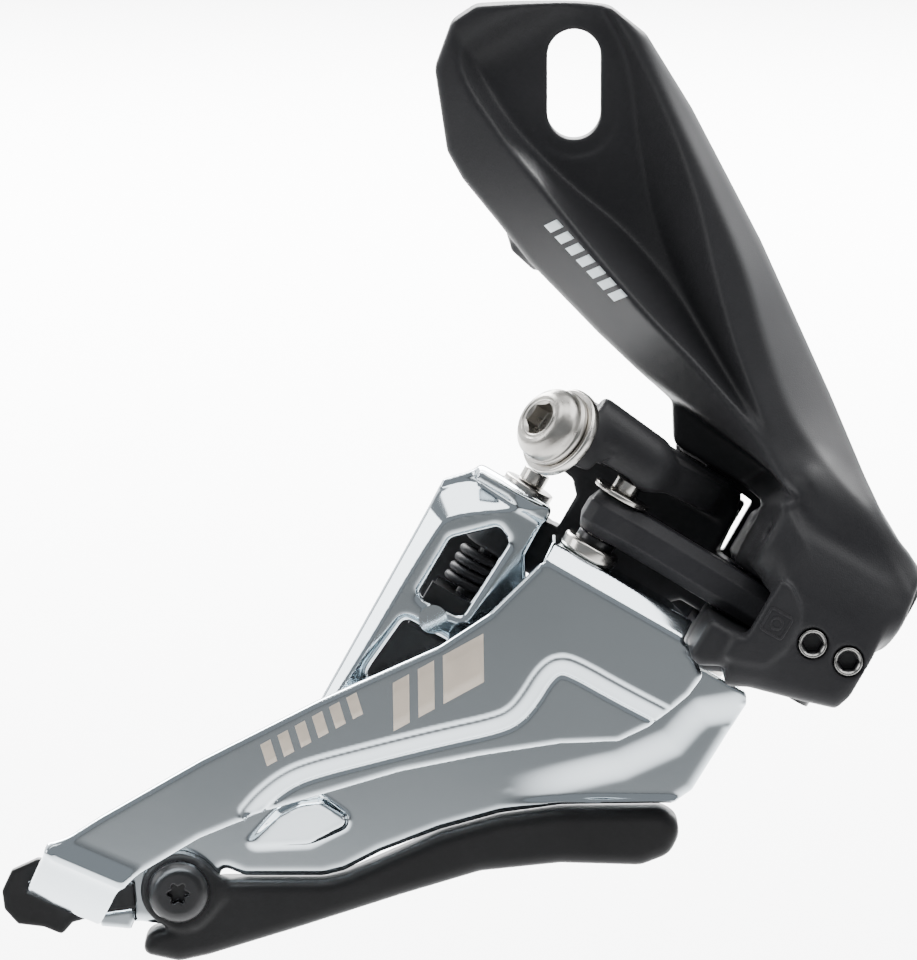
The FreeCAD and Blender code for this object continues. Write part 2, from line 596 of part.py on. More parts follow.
def inner_pin_clip():
    """E-clip under the lower support."""
    ring = tube(INNER_CAGE, 3.0, PIN_R, -22.1, -21.5)
    gap = along_h([(-11, -8.5), (-9, -8.5), (-9, -3), (-11, -3)], -23, -21)
    return swing(ring.cut(gap))


def return_spring():
    """Torsion spring on the long pin, below the inner link's knuckle."""
    top = P1_LOW - 0.3 - WIRE_R
    bottom = SUPPORT_TOP + WIRE_R + 0.1
    pitch = (top - bottom) / COILS
    helix = Part.makeHelix(pitch, top - bottom, COIL_R)
    start = V(COIL_R, 0, 0)
    profile = Part.Wire(Part.makeCircle(WIRE_R, start, V(0, 1, pitch / (2 * math.pi * COIL_R))))
    coil = Part.Wire(helix).makePipeShell([profile], True, True)
    coil.translate(V(INNER_CAGE[0], INNER_CAGE[1], bottom))
    at = V(INNER_CAGE[0] + COIL_R, INNER_CAGE[1], bottom)
    foot = rod((at.x, at.y + 0.1, at.z), (0.15, -1, 0), WIRE_R, 3.4)
    hook = rod((at.x, at.y - 0.1, at.z + top - bottom), (0.3, 1, 0), WIRE_R, 5.0)
    return swing(join([coil, foot, hook]))


def spring_cover():
    """Black plastic cover inboard of the spring, standing on a foot behind the inner plate."""
    shield = across(COVER_OUTLINE, COVER_IN_Y - COVER_WALL, COVER_IN_Y, 1.5)
    foot = across(COVER_FOOT, INNER_FACE + PLATE, COVER_IN_Y, 0.4)
    return swing(join([shield, foot]))


# Skid plate seen from outboard (x, z), clockwise from the front of its screw boss.
SKID_TOP = [(-47.6, -103.9), (-43.3, -103.9), (-32.8, -103.9), (-30.0, -103.2),
            (-17.6, -97.7), (-9.7, -95.5), (-1.8, -94.4), (11.6, -94.3)]
SKID_FRONT = [(13.6, -95.6), (13.9, -97.8), (12.6, -100.4), (8.8, -101.9)]
SKID_BELOW = [(-1.8, -101.6), (-12.3, -102.7), (-22.9, -105.9), (-36.1, -110.2),
              (-48.0, -113.9), (-52.0, -114.8), (-56.9, -113.7), (-56.2, -110.8),
              (-52.0, -110.0)]


def skid_plate():
    beam = across(SKID_TOP + SKID_FRONT + SKID_BELOW, SKID_OUT, SKID_IN, 0.8)
    lug_back = across([(-46.0, -103.8), (-46.0, -112.0), (-60.0, -112.0), (-60.0, -99.0),
                       (-48.0, -99.0)], INNER_FACE, INNER_FACE + PLATE)
    beam = beam.cut(lug_back)
    boss = rod((TORX_AT[0], SKID_OUT, TORX_AT[1]), (0, 1, 0), 5.0, INNER_FACE - SKID_OUT)
    rib = across([(-49.0, -102.0), (-46.0, -103.9), (-46.0, -106.0), (-50.0, -110.0)],
                 SKID_OUT, INNER_FACE)
    lip = across([(-42.0, -101.0), (-33.0, -101.0), (-28.5, -99.6), (-17.0, -94.8),
                  (-9.2, -92.6), (8.0, -91.4), (8.0, -95.0), (-1.8, -95.0), (-9.7, -96.2),
                  (-17.6, -98.4), (-30.2, -104.0), (-42.0, -104.6)],
                 INNER_FACE + PLATE, INNER_FACE + PLATE + 1.6)
    solid = join([beam, boss, rib, lip])
    solid = solid.cut(rod((TORX_AT[0], -25, TORX_AT[1]), (0, 1, 0), 2.0, 20))
    solid = solid.cut(cage_sheet_keepout())
    return max(solid.Solids, key=lambda s: s.Volume)


def cage_sheet_keepout():
    return across(INNER_PLATE, INNER_FACE, INNER_FACE + PLATE, 1.0)


def skid_plate_screw():
    x, z = TORX_AT
    shank = rod((x, SKID_OUT, z), (0, 1, 0), 2.0, 5.6)
    head = rod((x, SKID_OUT - 0.9, z), (0, 1, 0), TORX_HEAD_R, 0.9)
    crown = Part.makeCone(TORX_HEAD_R, 3.2, 0.9, V(x, SKID_OUT - 0.9, z), V(0, -1, 0))
    lobes = [rod((x + 0.95 * math.cos(math.radians(60 * k)), SKID_OUT - 2.5,
                  z + 0.95 * math.sin(math.radians(60 * k))), (0, 1, 0), 0.5, 2.1)
             for k in range(6)]
    key = join([rod((x, SKID_OUT - 2.5, z), (0, 1, 0), 1.1, 2.1)] + lobes)
    return join([shank, head, crown]).cut(key)


def tail_block():
    """Moulded block clamped between the folded tail and the inner plate."""
    outline = [(-75.3, -105.4), (-74.0, -102.6), (-70.5, -101.0), (-60.5, -103.6),
               (-57.9, -104.4), (-57.6, -107.8), (-61.8, -108.4), (-66.0, -109.6),
               (-67.4, -111.2), (-69.8, -110.2), (-73.2, -109.8), (-75.0, -107.8)]
    block = across(outline, TAIL_BLOCK_Y, INNER_FACE, 0.6)
    hole = rod((TAIL_RIVET[0], -20, TAIL_RIVET[1]), (0, 1, 0), RIVET_R, 12)
    return take(block, [hole, tail_tongue(0.02)])


def tail_rivet():
    return rivet(TAIL_RIVET, TAIL_BLOCK_Y, INNER_FACE + PLATE)


# ---- write every node ---------------------------------------------------------------------
NODES = {
    "mount_bracket": mount_bracket,
    "cable_entry_liner": cable_entry_liner,
    "high_limit_screw": lambda: limit_screw(HIGH_SCREW),
    "low_limit_screw": lambda: limit_screw(LOW_SCREW),
    "outer_base_pin": lambda: base_pin(OUTER_BASE, -7.2, 6.0),
    "inner_base_pin": lambda: base_pin(INNER_BASE, -11.0, 9.0),
    "outer_link": outer_link,
    "outer_link_bushes": outer_link_bushes,
    "inner_link": inner_link,
    "inner_link_bushes": inner_link_bushes,
    "cable_clamp_washer": cable_clamp_washer,
    "cable_clamp_bolt": cable_clamp_bolt,
    "cage_outer_plate": cage_outer_plate,
    "cage_inner_plate": cage_inner_plate,
    "lower_pin_support": lower_pin_support,
    "bridge_rivets": bridge_rivets,
    "support_rivets": support_rivets,
    "outer_cage_pin": outer_cage_pin,
    "outer_pin_washer": outer_pin_washer,
    "outer_pin_spacer": outer_pin_spacer,
    "inner_cage_pin": inner_cage_pin,
    "inner_pin_washer": inner_pin_washer,
    "inner_pin_clip": inner_pin_clip,
    "return_spring": return_spring,
    "spring_cover": spring_cover,
    "skid_plate": skid_plate,
    "skid_plate_screw": skid_plate_screw,
    "tail_block": tail_block,
    "tail_rivet": tail_rivet,
}

if __name__ == "__main__":
    os.makedirs("parts", exist_ok=True)
    for name, make in NODES.items():
        shape = make()
        if not shape.isValid():
            print("INVALID", name)
        shape.exportStep(f"parts/{name}.step")
        box = shape.optimalBoundingBox(False)
        print(f"{name:22s} solids {len(shape.Solids)}  volume {shape.Volume:8.1f}  "
              f"x {box.XMin:6.1f} {box.XMax:6.1f}  y {box.YMin:6.1f} {box.YMax:6.1f}  "
              f"z {box.ZMin:7.1f} {box.ZMax:6.1f}")
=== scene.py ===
import itertools
import math

import bmesh
import bpy
import numpy as np
from mathutils import Matrix, Vector


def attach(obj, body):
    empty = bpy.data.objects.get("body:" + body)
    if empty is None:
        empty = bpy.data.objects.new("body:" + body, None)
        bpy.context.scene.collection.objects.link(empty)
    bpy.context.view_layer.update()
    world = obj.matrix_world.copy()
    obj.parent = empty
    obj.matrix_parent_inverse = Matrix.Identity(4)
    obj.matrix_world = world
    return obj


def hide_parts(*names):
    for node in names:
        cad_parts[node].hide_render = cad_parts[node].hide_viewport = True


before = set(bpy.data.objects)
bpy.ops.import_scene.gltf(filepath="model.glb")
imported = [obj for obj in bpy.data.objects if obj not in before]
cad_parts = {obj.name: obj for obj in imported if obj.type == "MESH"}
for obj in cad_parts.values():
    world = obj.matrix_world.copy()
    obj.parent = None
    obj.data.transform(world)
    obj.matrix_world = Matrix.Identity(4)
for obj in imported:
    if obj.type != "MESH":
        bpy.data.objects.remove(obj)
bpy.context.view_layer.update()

# ---- driving sizes, millimetres ----
MM = 0.001
PIN_LEAN = math.radians(30.0)
PIVOT_X, PIVOT_Z = 4.4, -54.8
LINK_LENGTH = 32.7
LINK_REST = math.radians(12.0)
SWING_RANGE = 20.0
OUTER_CAGE = (0, -21.5)
INNER_CAGE = (-10, -8.5)
PIN_R = 1.5
OUTER_FACE, INNER_FACE, PLATE = -27.5, -14.5, 1.4
FOLD_H, FOLD_R = -8.5, 2.5
LINK_H = 2.8
BARREL_Y, BARREL_H, BARREL_R = -29.0, 9.6, 5.15
HIGH_SCREW, LOW_SCREW = (29.4, 0.6), (34.5, 0.9)
TORX_AT, TORX_SHANK_R = (-52, -105.2), 2.0
CLAMP_AT = (-11.9, -25.5, 6.9)
CLAMP_AXIS = Vector((-0.81, -0.57, 0.12)).normalized()

COS, SIN = math.cos(PIN_LEAN), math.sin(PIN_LEAN)
LEAN = Matrix(((COS, 0, SIN, PIVOT_X), (0, 1, 0, 0), (-SIN, 0, COS, PIVOT_Z), (0, 0, 0, 1)))
FACE_OUT = Matrix.Rotation(math.radians(90), 4, "X")       # local z points outboard
OUTER_BASE = (OUTER_CAGE[0] + LINK_LENGTH * math.cos(LINK_REST),
              OUTER_CAGE[1] - LINK_LENGTH * math.sin(LINK_REST))
INNER_BASE = (INNER_CAGE[0] + LINK_LENGTH * math.cos(LINK_REST),
              INNER_CAGE[1] - LINK_LENGTH * math.sin(LINK_REST))


def row_point(f, h):
    return (PIVOT_X + COS * f + SIN * h, PIVOT_Z - SIN * f + COS * h)


# ---- solids as sampled distance, negative inside ----
SLANT = 0.7071             # turns the sum of two distances into one across a 45 degree edge


class Block:
    """A grid of sample points over a box, in millimetres."""

    def __init__(self, low, high, step, place=Matrix.Identity(4)):
        self.low = np.array(low, float)
        self.step = step
        self.place = place
        axes = [np.arange(a, b + step, step, dtype=np.float32) for a, b in zip(low, high)]
        self.x = axes[0][:, None, None]
        self.y = axes[1][None, :, None]
        self.z = axes[2][None, None, :]


def linkage_rows(block):
    """A block's coordinates in the linkage frame: f along the row of pins, h up the pins."""
    x, z = block.x - PIVOT_X, block.z - PIVOT_Z
    return COS * x - SIN * z, SIN * x + COS * z


def both(a, b, soft=0.0):
    """Where both solids are; soft rounds the edge between them."""
    if soft <= 0:
        return np.maximum(a, b)
    h = np.maximum(soft - np.abs(a - b), 0) / soft
    return np.maximum(a, b) + h * h * soft * 0.25


def either(a, b, soft=0.0):
    """Where either solid is; soft fills the corner between them."""
    return -both(-a, -b, soft)


def less(a, b, soft=0.0):
    """The first solid with the second taken away."""
    return both(a, -b, soft)


def cut(whole, *parts):
    """Take parts away in turn, each given with how soft its edge is."""
    for part, soft in parts:
        whole = less(whole, part, soft)
    return whole


def span(a, low, high):
    return np.maximum(low - a, a - high)


def round_post(a, b, centre, radius):
    return np.sqrt((a - centre[0]) ** 2 + (b - centre[1]) ** 2) - radius


def post(a, b, centre, radius, c, low, high, soft=0.0):
    """A round post over two coordinates, between two heights along the third."""
    return both(round_post(a, b, centre, radius), span(c, low, high), soft)


def rounded(points, radius):
    """The outline's points with each corner turned into an arc."""
    out = []
    n = len(points)
    for i in range(n):
        p = Vector(points[i][:2])
        r = points[i][2] if len(points[i]) > 2 else radius
        back = Vector(points[i - 1][:2]) - p
        ahead = Vector(points[(i + 1) % n][:2]) - p
        half = back.angle(ahead) / 2
        cut = min(r / math.tan(half), 0.48 * back.length, 0.48 * ahead.length)
        a, b = p + back.normalized() * cut, p + ahead.normalized() * cut
        steps = max(1, int(math.degrees(math.pi - 2 * half) / 9))
        for k in range(steps + 1):
            t = k / steps
            out.append(a * (1 - t) ** 2 + p * 2 * t * (1 - t) + b * t * t)
    return out


def outline(a, b, points, radius=0.0):
    """Signed distance to a closed outline over two broadcast coordinates."""
    ring = rounded(points, radius) if radius > 0 else [Vector(p[:2]) for p in points]
    shape = np.broadcast(a, b).shape
    near = np.full(shape, 1e9, np.float32)
    inside = np.zeros(shape, bool)
    for p, q in zip(ring, ring[1:] + ring[:1]):
        run = q - p
        if run.length < 1e-5:
            continue
        t = np.clip(((a - p.x) * run.x + (b - p.y) * run.y) / run.length_squared, 0, 1)
        near = np.minimum(near, (a - p.x - run.x * t) ** 2 + (b - p.y - run.y * t) ** 2)
        if abs(run.y) > 1e-9:
            crosses = (p.y <= b) != (q.y <= b)
            inside ^= crosses & (a < p.x + run.x * (b - p.y) / run.y)
    return np.where(inside, -1, 1) * np.sqrt(near)


def prism(a, b, points, corner, c, low, high, soft=0.0):
    """An outline over two coordinates, between two heights along the third."""
    return both(outline(a, b, points, corner), span(c, low, high), soft)


def past(block, at, axis):
    """How far each sample lies past a point in a direction."""
    return ((block.x - at[0]) * axis[0] + (block.y - at[1]) * axis[1]
            + (block.z - at[2]) * axis[2])


def rod(block, at, axis, radius, length):
    """Cylinder from a point along a unit axis, in the block's own frame."""
    dx, dy, dz = block.x - at[0], block.y - at[1], block.z - at[2]
    along = past(block, at, axis)
    radial = np.sqrt(np.maximum(dx * dx + dy * dy + dz * dz - along * along, 0)) - radius
    return both(radial, span(along, 0, length))


def soften(values, cells):
    """Blur a 2-D height map by about that many cells."""
    reach = int(math.ceil(cells * 2.5))
    kernel = np.exp(-0.5 * (np.arange(-reach, reach + 1) / cells) ** 2)
    kernel /= kernel.sum()
    for axis in (0, 1):
        pad = [(0, 0), (0, 0)]
        pad[axis] = (reach, reach)
        padded = np.pad(values, pad, mode="edge")
        values = sum(w * np.take(padded, range(k, k + values.shape[axis]), axis)
                     for k, w in enumerate(kernel))
    return values.astype(np.float32)


def slope_size(height, step):
    """How much longer the height map's surface is than its plan, point by point."""
    return np.sqrt(1 + sum(d ** 2 for d in np.gradient(height, step)))


CORNERS = np.array(list(itertools.product((0, 1), repeat=3)))


def sample(field, points):
    """The field and its slope at points given in cells."""
    top = np.array(field.shape) - 2
    base = np.clip(np.floor(points).astype(int), 0, top)
    t = np.clip(points - base, 0, 1)
    value = np.zeros(len(points))
    slope = np.zeros((len(points), 3))
    for corner in CORNERS:
        v = field[tuple((base + corner).T)]
        w = np.where(corner, t, 1 - t)
        value += v * w.prod(1)
        for axis in range(3):
            slope[:, axis] += v * (2 * corner[axis] - 1) * np.delete(w, axis, 1).prod(1)
    return value, slope


def net(field):
    """Quads through every cell that the surface crosses, vertices in cells."""
    inside = field < 0
    low = [slice(None, -1)] * 3
    high = [slice(1, None)] * 3
    count = sum(inside[tuple(high[k] if c[k] else low[k] for k in range(3))].astype(np.int8)
                for c in CORNERS)
    cells = np.argwhere((count > 0) & (count < 8))
    values = [field[tuple((cells + c).T)] for c in CORNERS]
    total = np.zeros((len(cells), 3))
    hits = np.zeros(len(cells))
    for i, j in itertools.combinations(range(8), 2):
        if np.abs(CORNERS[i] - CORNERS[j]).sum() != 1:
            continue
        a, b = values[i], values[j]
        cross = (a < 0) != (b < 0)
        t = np.where(cross, a / np.where(cross, a - b, 1), 0)[:, None]
        total += np.where(cross[:, None], CORNERS[i] + t * (CORNERS[j] - CORNERS[i]), 0)
        hits += cross
    points = cells + total / hits[:, None]
    index = np.full(count.shape, -1, np.int32)
    index[tuple(cells.T)] = np.arange(len(cells))
    quads = []
    for axis in range(3):
        b, c = (axis + 1) % 3, (axis + 2) % 3
        first = [slice(None)] * 3
        second = [slice(None)] * 3
        first[axis], second[axis] = slice(None, -1), slice(1, None)
        for k in (b, c):
            first[k] = second[k] = slice(1, -1)
        start = inside[tuple(first)]
        changed = start != inside[tuple(second)]
        at = np.argwhere(changed)
        at[:, [b, c]] += 1
        ring = []
        for shift in ((-1, -1), (0, -1), (0, 0), (-1, 0)):
            cell = at.copy()
            cell[:, [b, c]] += shift
            ring.append(index[tuple(cell.T)])
        ring = np.stack(ring, 1)
        flip = ~start[changed]
        ring[flip] = ring[flip][:, ::-1]
        quads.append(ring)
    return points, np.concatenate(quads)


def relax(points, quads, field, rounds):
    """Even the vertices out along the surface and put them back on it."""
    a = quads.ravel()
    b = np.roll(quads, -1, 1).ravel()
    n = len(points)
    degree = np.bincount(a, minlength=n) + np.bincount(b, minlength=n)
    for _ in range(rounds):
        mean = np.stack([np.bincount(a, points[b, k], n) + np.bincount(b, points[a, k], n)
                         for k in range(3)], 1) / degree[:, None]
        points = 0.45 * points + 0.55 * mean
        value, slope = sample(field, points)
        size = np.maximum((slope ** 2).sum(1), 1e-3)
        step = np.clip(value / size, -0.6, 0.6)[:, None] * slope
        points = points - step
    return points


def add(name, data):
    """A new object for a mesh, lamp or camera, in the scene."""
    thing = bpy.data.objects.new(name, data)
    bpy.context.scene.collection.objects.link(thing)
    return thing


def skin(name, block, field, rounds):
    """Turn a sampled solid into a smooth mesh object."""
    field = np.pad(np.broadcast_to(field, np.broadcast(block.x, block.y, block.z).shape)
                   .astype(np.float32), 1, constant_values=block.step * 2)
    field = np.clip(field, -3 * block.step, 3 * block.step) / block.step
    points, quads = net(field)
    points = relax(points, quads, field, rounds)
    points = (points - 1) * block.step + block.low
    mesh = bpy.data.meshes.new(name)
    mesh.vertices.add(len(points))
    place = np.array(block.place)
    points = points @ place[:3, :3].T + place[:3, 3]
    mesh.vertices.foreach_set("co", (points * MM).astype(np.float32).ravel())
    mesh.loops.add(quads.size)
    mesh.loops.foreach_set("vertex_index", quads.ravel().astype(np.int32))
    mesh.polygons.add(len(quads))
    mesh.polygons.foreach_set("loop_start", np.arange(0, quads.size, 4, dtype=np.int32))
    mesh.update(calc_edges=True)
    mesh.validate()
    mesh.shade_smooth()
    return add(name, mesh)


def lathe(name, place, profile, turns=96):
    """Solid of revolution about the place's own z axis: profile is (radius, z), closed."""
    profile = [Vector(p) for p in profile]
    points, faces = [], []
    n = len(profile)
    for k in range(turns):
        a = 2 * math.pi * k / turns
        points += [place @ Vector((p.x * math.cos(a), p.x * math.sin(a), p.y)) * MM
                   for p in profile]
    for k in range(turns):
        a, b = k * n, (k + 1) % turns * n
        for i in range(n):
            j = (i + 1) % n
            faces.append((a + i, b + i, b + j, a + j))
    return from_faces(name, points, faces)


def from_faces(name, points, faces):
    mesh = bpy.data.meshes.new(name)
    mesh.from_pydata([tuple(p) for p in points], [], faces)
    work = bmesh.new()
    work.from_mesh(mesh)
    bmesh.ops.remove_doubles(work, verts=work.verts, dist=1e-6)
    bmesh.ops.recalc_face_normals(work, faces=work.faces)
    work.to_mesh(mesh)
    work.free()
    mesh.shade_smooth()
    return add(name, mesh)


def ring_profile(inner, outer, low, high, edge):
    """Closed profile of a washer or sleeve with rounded outer edges."""
    arc = [(outer - edge + edge * math.sin(a), low + edge - edge * math.cos(a))
           for a in (0, 0.4, 0.8, 1.2, math.pi / 2)]
    top = [(r, low + high - z) for r, z in reversed(arc)]
    crisp = 0.04
    return ([(inner, low + crisp), (inner + crisp, low)] + arc + top
            + [(inner + crisp, high), (inner, high - crisp)])


def place_along(at, axis):
    """Local frame at a point of the linkage frame, with z along an axis."""
    turn = Vector(axis).normalized().to_track_quat("Z", "Y").to_matrix().to_4x4()
    return LEAN @ Matrix.Translation(at) @ turn


# ---- finishes ----
GRAIN_DEPTH = 0.00004      # metres
NOISE_SPREAD = (0.3, 0.7)  # where most of a noise's values lie
MATT_SHEEN = 0.15          # specular level of everything that isn't metal


def map_range(tree, source, limits):
    """Map a source from one range to another: limits are from low, high, to low, high."""
    made = tree.nodes.new("ShaderNodeMapRange")
    for key, value in zip(("From Min", "From Max", "To Min", "To Max"), limits):
        made.inputs[key].default_value = value
    tree.links.new(source, made.inputs["Value"])
    return made.outputs["Result"]


class Finish:
    """A node material built up from noise on object coordinates."""

    def __init__(self, name, colour, rough, metal):
        self.mat = bpy.data.materials.new(name)
        self.mat.use_nodes = True
        self.nodes = self.mat.node_tree.nodes
        self.links = self.mat.node_tree.links
        self.shader = self.nodes["Principled BSDF"]
        self.colour, self.rough = colour, rough
        self.shader.inputs["Base Color"].default_value = (*colour, 1)
        self.shader.inputs["Roughness"].default_value = rough
        self.shader.inputs["Metallic"].default_value = metal
        self.shader.inputs["Specular IOR Level"].default_value = 0.5 if metal else MATT_SHEEN
        self.coord = self.nodes.new("ShaderNodeTexCoord").outputs["Object"]

    def noise(self, scale, detail):
        made = self.nodes.new("ShaderNodeTexNoise")
        made.inputs["Scale"].default_value = scale
        made.inputs["Detail"].default_value = detail
        self.links.new(self.coord, made.inputs["Vector"])
        return made.outputs["Fac"]

    def ramp(self, source, low, high):
        return map_range(self.mat.node_tree, source, (*NOISE_SPREAD, low, high))

    def mottle(self, scale, amount):
        """Vary colour and roughness softly."""
        fac = self.noise(scale, 4.0)
        mix = self.nodes.new("ShaderNodeMix")
        mix.data_type = "RGBA"
        mix.inputs["A"].default_value = (*[c * (1 - amount) for c in self.colour], 1)
        mix.inputs["B"].default_value = (*[c * (1 + amount) for c in self.colour], 1)
        self.links.new(self.ramp(fac, 0, 1), mix.inputs["Factor"])
        self.links.new(mix.outputs["Result"], self.shader.inputs["Base Color"])
        self.links.new(self.ramp(fac, self.rough * (1 - amount), self.rough * (1 + amount)),
                       self.shader.inputs["Roughness"])
        return self

    def grain(self, scale, strength):
        """Fine relief on the surface."""
        bump = self.nodes.new("ShaderNodeBump")
        bump.inputs["Strength"].default_value = strength
        bump.inputs["Distance"].default_value = GRAIN_DEPTH
        self.links.new(self.noise(scale, 2.0), bump.inputs["Height"])
        self.links.new(bump.outputs["Normal"], self.shader.inputs["Normal"])
        return self


def finish(name, colour, rough, metal, mottle, grain):
    """A finish with its mottle (scale, amount) and its grain (scale, depth)."""
    return Finish(name, colour, rough, metal).mottle(*mottle).grain(*grain).mat


CAST = finish("cast_black", (0.016, 0.016, 0.0175), 0.46, 0, (60, 0.12), (5200, 0.55))
LINK = finish("link_grey", (0.017, 0.017, 0.019), 0.45, 0, (90, 0.15), (3600, 0.8))
CHROME = finish("cage_chrome", (0.585, 0.64, 0.675), 0.10, 1, (30, 0.05), (700, 0.04))
GUARD = finish("guard_plastic", (0.011, 0.011, 0.0115), 0.42, 0, (80, 0.1), (4200, 0.4))
PIN = finish("pin_steel", (0.52, 0.50, 0.47), 0.24, 1, (300, 0.12), (2500, 0.1))
SCREW = finish("screw_steel", (0.21, 0.207, 0.20), 0.25, 1, (400, 0.15), (3000, 0.1))
HEAD = finish("clamp_steel", (0.38, 0.365, 0.34), 0.30, 1, (500, 0.12), (3800, 0.45))
# Black steel; the same black also stands as painted shade inside the limit screws' hex sockets.
BLACK = finish("black_steel", (0.014, 0.014, 0.015), 0.30, 0.4, (200, 0.1), (2500, 0.2))
SPRING = finish("spring_steel", (0.010, 0.010, 0.011), 0.5, 0, (300, 0.2), (2000, 0.2))
BUSH = finish("bush_plastic", (0.03, 0.03, 0.032), 0.5, 0, (300, 0.1), (2000, 0.2))
BEIGE = finish("mark_beige", (0.46, 0.40, 0.33), 0.45, 0.1, (300, 0.05), (4000, 0.2))
PALE = finish("mark_pale", (0.62, 0.68, 0.70), 0.5, 0, (300, 0.05), (4000, 0.1))


def finish_piece(piece, mat, body, slot, *nodes):
    """Give a piece its finish and body, and hide the CAD nodes it stands for; the slot is not
    used.
    """
    if not piece.data.materials:
        piece.data.materials.append(mat)
    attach(piece, body)
    if nodes:
        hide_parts(*nodes)


# ---- mounting bracket ----
ARM_DIR = (0.478, -0.878)
ARM_SIDE = (0.878, 0.478)
ARM_OUTLINE = [(-18, 2.1), (-15.8, 8.2), (-12.8, 10.2), (-2, 10.9), (4.6, 10),
               (9.3, 6.3), (15.3, -3.4), (24.4, -20.7), (33.3, -40.2), (39, -53.6),
               (42.3, -59.2), (40.6, -63.5), (30, -60), (24.9, -53.3), (13.4, -48.6),
               (13.2, -41), (3.4, -32.2), (-5.6, -23.2), (-9.7, -18), (-14.4, -12.3),
               (-16.4, -8.7)]
# Rows: along the arm, its back, then (across, y) pairs for its left edge, left crest, floor
# left, floor right, right crest, land and right edge.
ARM_SECTIONS = np.array((
    (-19, 0, -21, -3, -10, -6, -9, -6, 8, -6, 9, -6, 10.5, -6, 13, -3),
    (-12.6, 0, -21, -3, -11, -6, -9.8, -5.9, 7.6, -5.9, 9, -6, 10.5, -6, 13, -3),
    (-9.4, 0, -21, -3, -12, -6.4, -10, -4, 7.8, -4, 9.2, -6, 10.5, -6, 13, -3),
    (0, 0, -21, -3, -11.6, -8, -9.8, -4, 7.6, -4, 9.3, -6.5, 10.5, -6.5, 13, -3),
    (10, 0, -20, -3, -9.6, -12.5, -7.4, -4.5, 4, -4.5, 8.8, -10, 10, -10, 13.5, -3),
    (20, -0.6, -17.5, -3.6, -7.8, -16.5, -3.4, -6.5, 1, -6.5, 7.2, -14.3, 9.4, -14.3, 13.5, -5.5),
    (30, -2.8, -14, -6.6, -5.5, -19.5, -1.2, -11, -0.1, -11, 4.4, -18.5, 8.4, -18.5, 13, -8),
    (40, -6, -11, -10, -2.4, -23.3, -0.6, -18, 0.2, -18, 2.2, -23, 6.3, -22.3, 12.5, -11.5),
    (50, -9.6, -8.5, -12.5, -0.4, -27.5, 0.3, -27.4, 0.7, -27.4, 1.2, -27.5, 5, -26.6, 12, -17),
    (58, -11.3, -8, -13.6, -0.7, -30.4, 0.2, -30.4, 0.6, -30.4, 1.1, -30.4, 6, -30, 11.8, -22),
    (66, -12.8, -7.5, -14.6, -1, -28, 0, -28, 0.5, -28, 1, -28, 7.5, -31.2, 11.5, -29),
    (78, -14, -7.5, -15.5, -1, -21, 0, -21, 0.5, -21, 1, -21, 8, -30.5, 11.5, -29.5),
)).T
ARM_TOP, BARREL_END = 10.8, 44.4             # highest z and furthest x of the casting
SPOTFACE_R, SPOTFACE_Y = 6.0, -4.0
SLOT_R, SLOT_HALF = 3.5, 3.7
UNDERCUT = ((36, 59), (-10.6, 1.3))      # where the flank's lower edge runs, along, across
UNDERCUT_Y = ((40, 64), (-10.5, -15.5))  # how far inboard the flank is cut back, along, y
# Filled corner between the arm's crest and the barrel, in (f, h).
SHOULDER = [(17.2, 19.4), (20.6, 13.3), (21.8, 7.5), (21.8, 3), (36.5, 3), (36.6, 9),
            (33.5, 14), (27, 17.4)]
# Raised pad round the framed mark and the fork's lower arm, in (f, h).
PAD = [(21.8, -3.4), (20.5, -3.4), (20.5, -6.6), (22.7, -6), (25.4, -4.9), (26.8, -1.9),
       (26.7, 2.3), (25.4, 4.2), (23.4, 5.7), (21.8, 5.9)]
PAD_FACE = -37.35
LOWER_ARM = [(16.5, -3.2), (26, -3.2), (26, -5.6), (22.5, -7), (18.3, -9.3),
             (16.5, -8.8)]
# Thin wall behind the inner link, its lip, and the two slits that meet in its corner.
BACK_WALL = [(4.5, 13.6), (18.5, 13.6), (18.5, -10), (12.6, -10), (12.6, -2.6),
             (9, 2), (9, 10.9), (4.5, 10.9)]
BACK_WALL_Y = (-9.8, -7.6)
BACK_LIP = [(2.4, 14), (10, 14), (10, 8), (5.8, 8)]
BACK_LIP_Y = (-8.6, -6.4)
BACK_WALL_SLITS = [[(15.7, 2.2), (16.4, 2.2), (16.4, 9.8), (15.7, 9.8)],
                   [(14.4, 9.2), (16.4, 9.1), (16.4, 9.8), (14.4, 10)]]
BARREL_AT = (BARREL_Y, BARREL_H)
SOCKET_R, CABLE_R = 3.15, 1.2                # holes in the barrel
LIMIT_HOLE_R, PIN_BOSS_R = 1.95, 4.6


def smooth_table(s, a, v):
    """Values at s, passing smoothly through the table's own values v at points a."""
    slopes = np.gradient(v, a)
    k = np.clip(np.searchsorted(a, s) - 1, 0, len(a) - 2)
    width = a[k + 1] - a[k]
    t = np.clip((s - a[k]) / width, 0, 1)
    bend = t * t * (3 - 2 * t)
    start = slopes[k] * width * t * (1 - t) ** 2
    stop = slopes[k + 1] * width * t * t * (1 - t)
    return v[k] + (v[k + 1] - v[k]) * bend + start - stop


def arm_front(x, z):
    """Height of the arm's outboard surface over (x, z)."""
    s = x * ARM_DIR[0] + z * ARM_DIR[1]
    q = x * ARM_SIDE[0] + z * ARM_SIDE[1]
    knots = [[smooth_table(s, ARM_SECTIONS[0], ARM_SECTIONS[k + i]) for i in (0, 1)]
             for k in range(2, 16, 2)]
    y = knots[0][1]
    for (qa, ya), (qb, yb) in zip(knots, knots[1:]):
        y = y + (yb - ya) * np.clip((q - qa) / np.maximum(qb - qa, 0.05), 0, 1)
    last, before = knots[-1], knots[-2]
    slope = (last[1] - before[1]) / (last[0] - before[0])
    y = y + slope * np.maximum(q - last[0], 0)
    return s, q, y


def slot_distance(x, z, radius):
    return np.sqrt(x ** 2 + (z - np.clip(z, -SLOT_HALF, SLOT_HALF)) ** 2) - radius


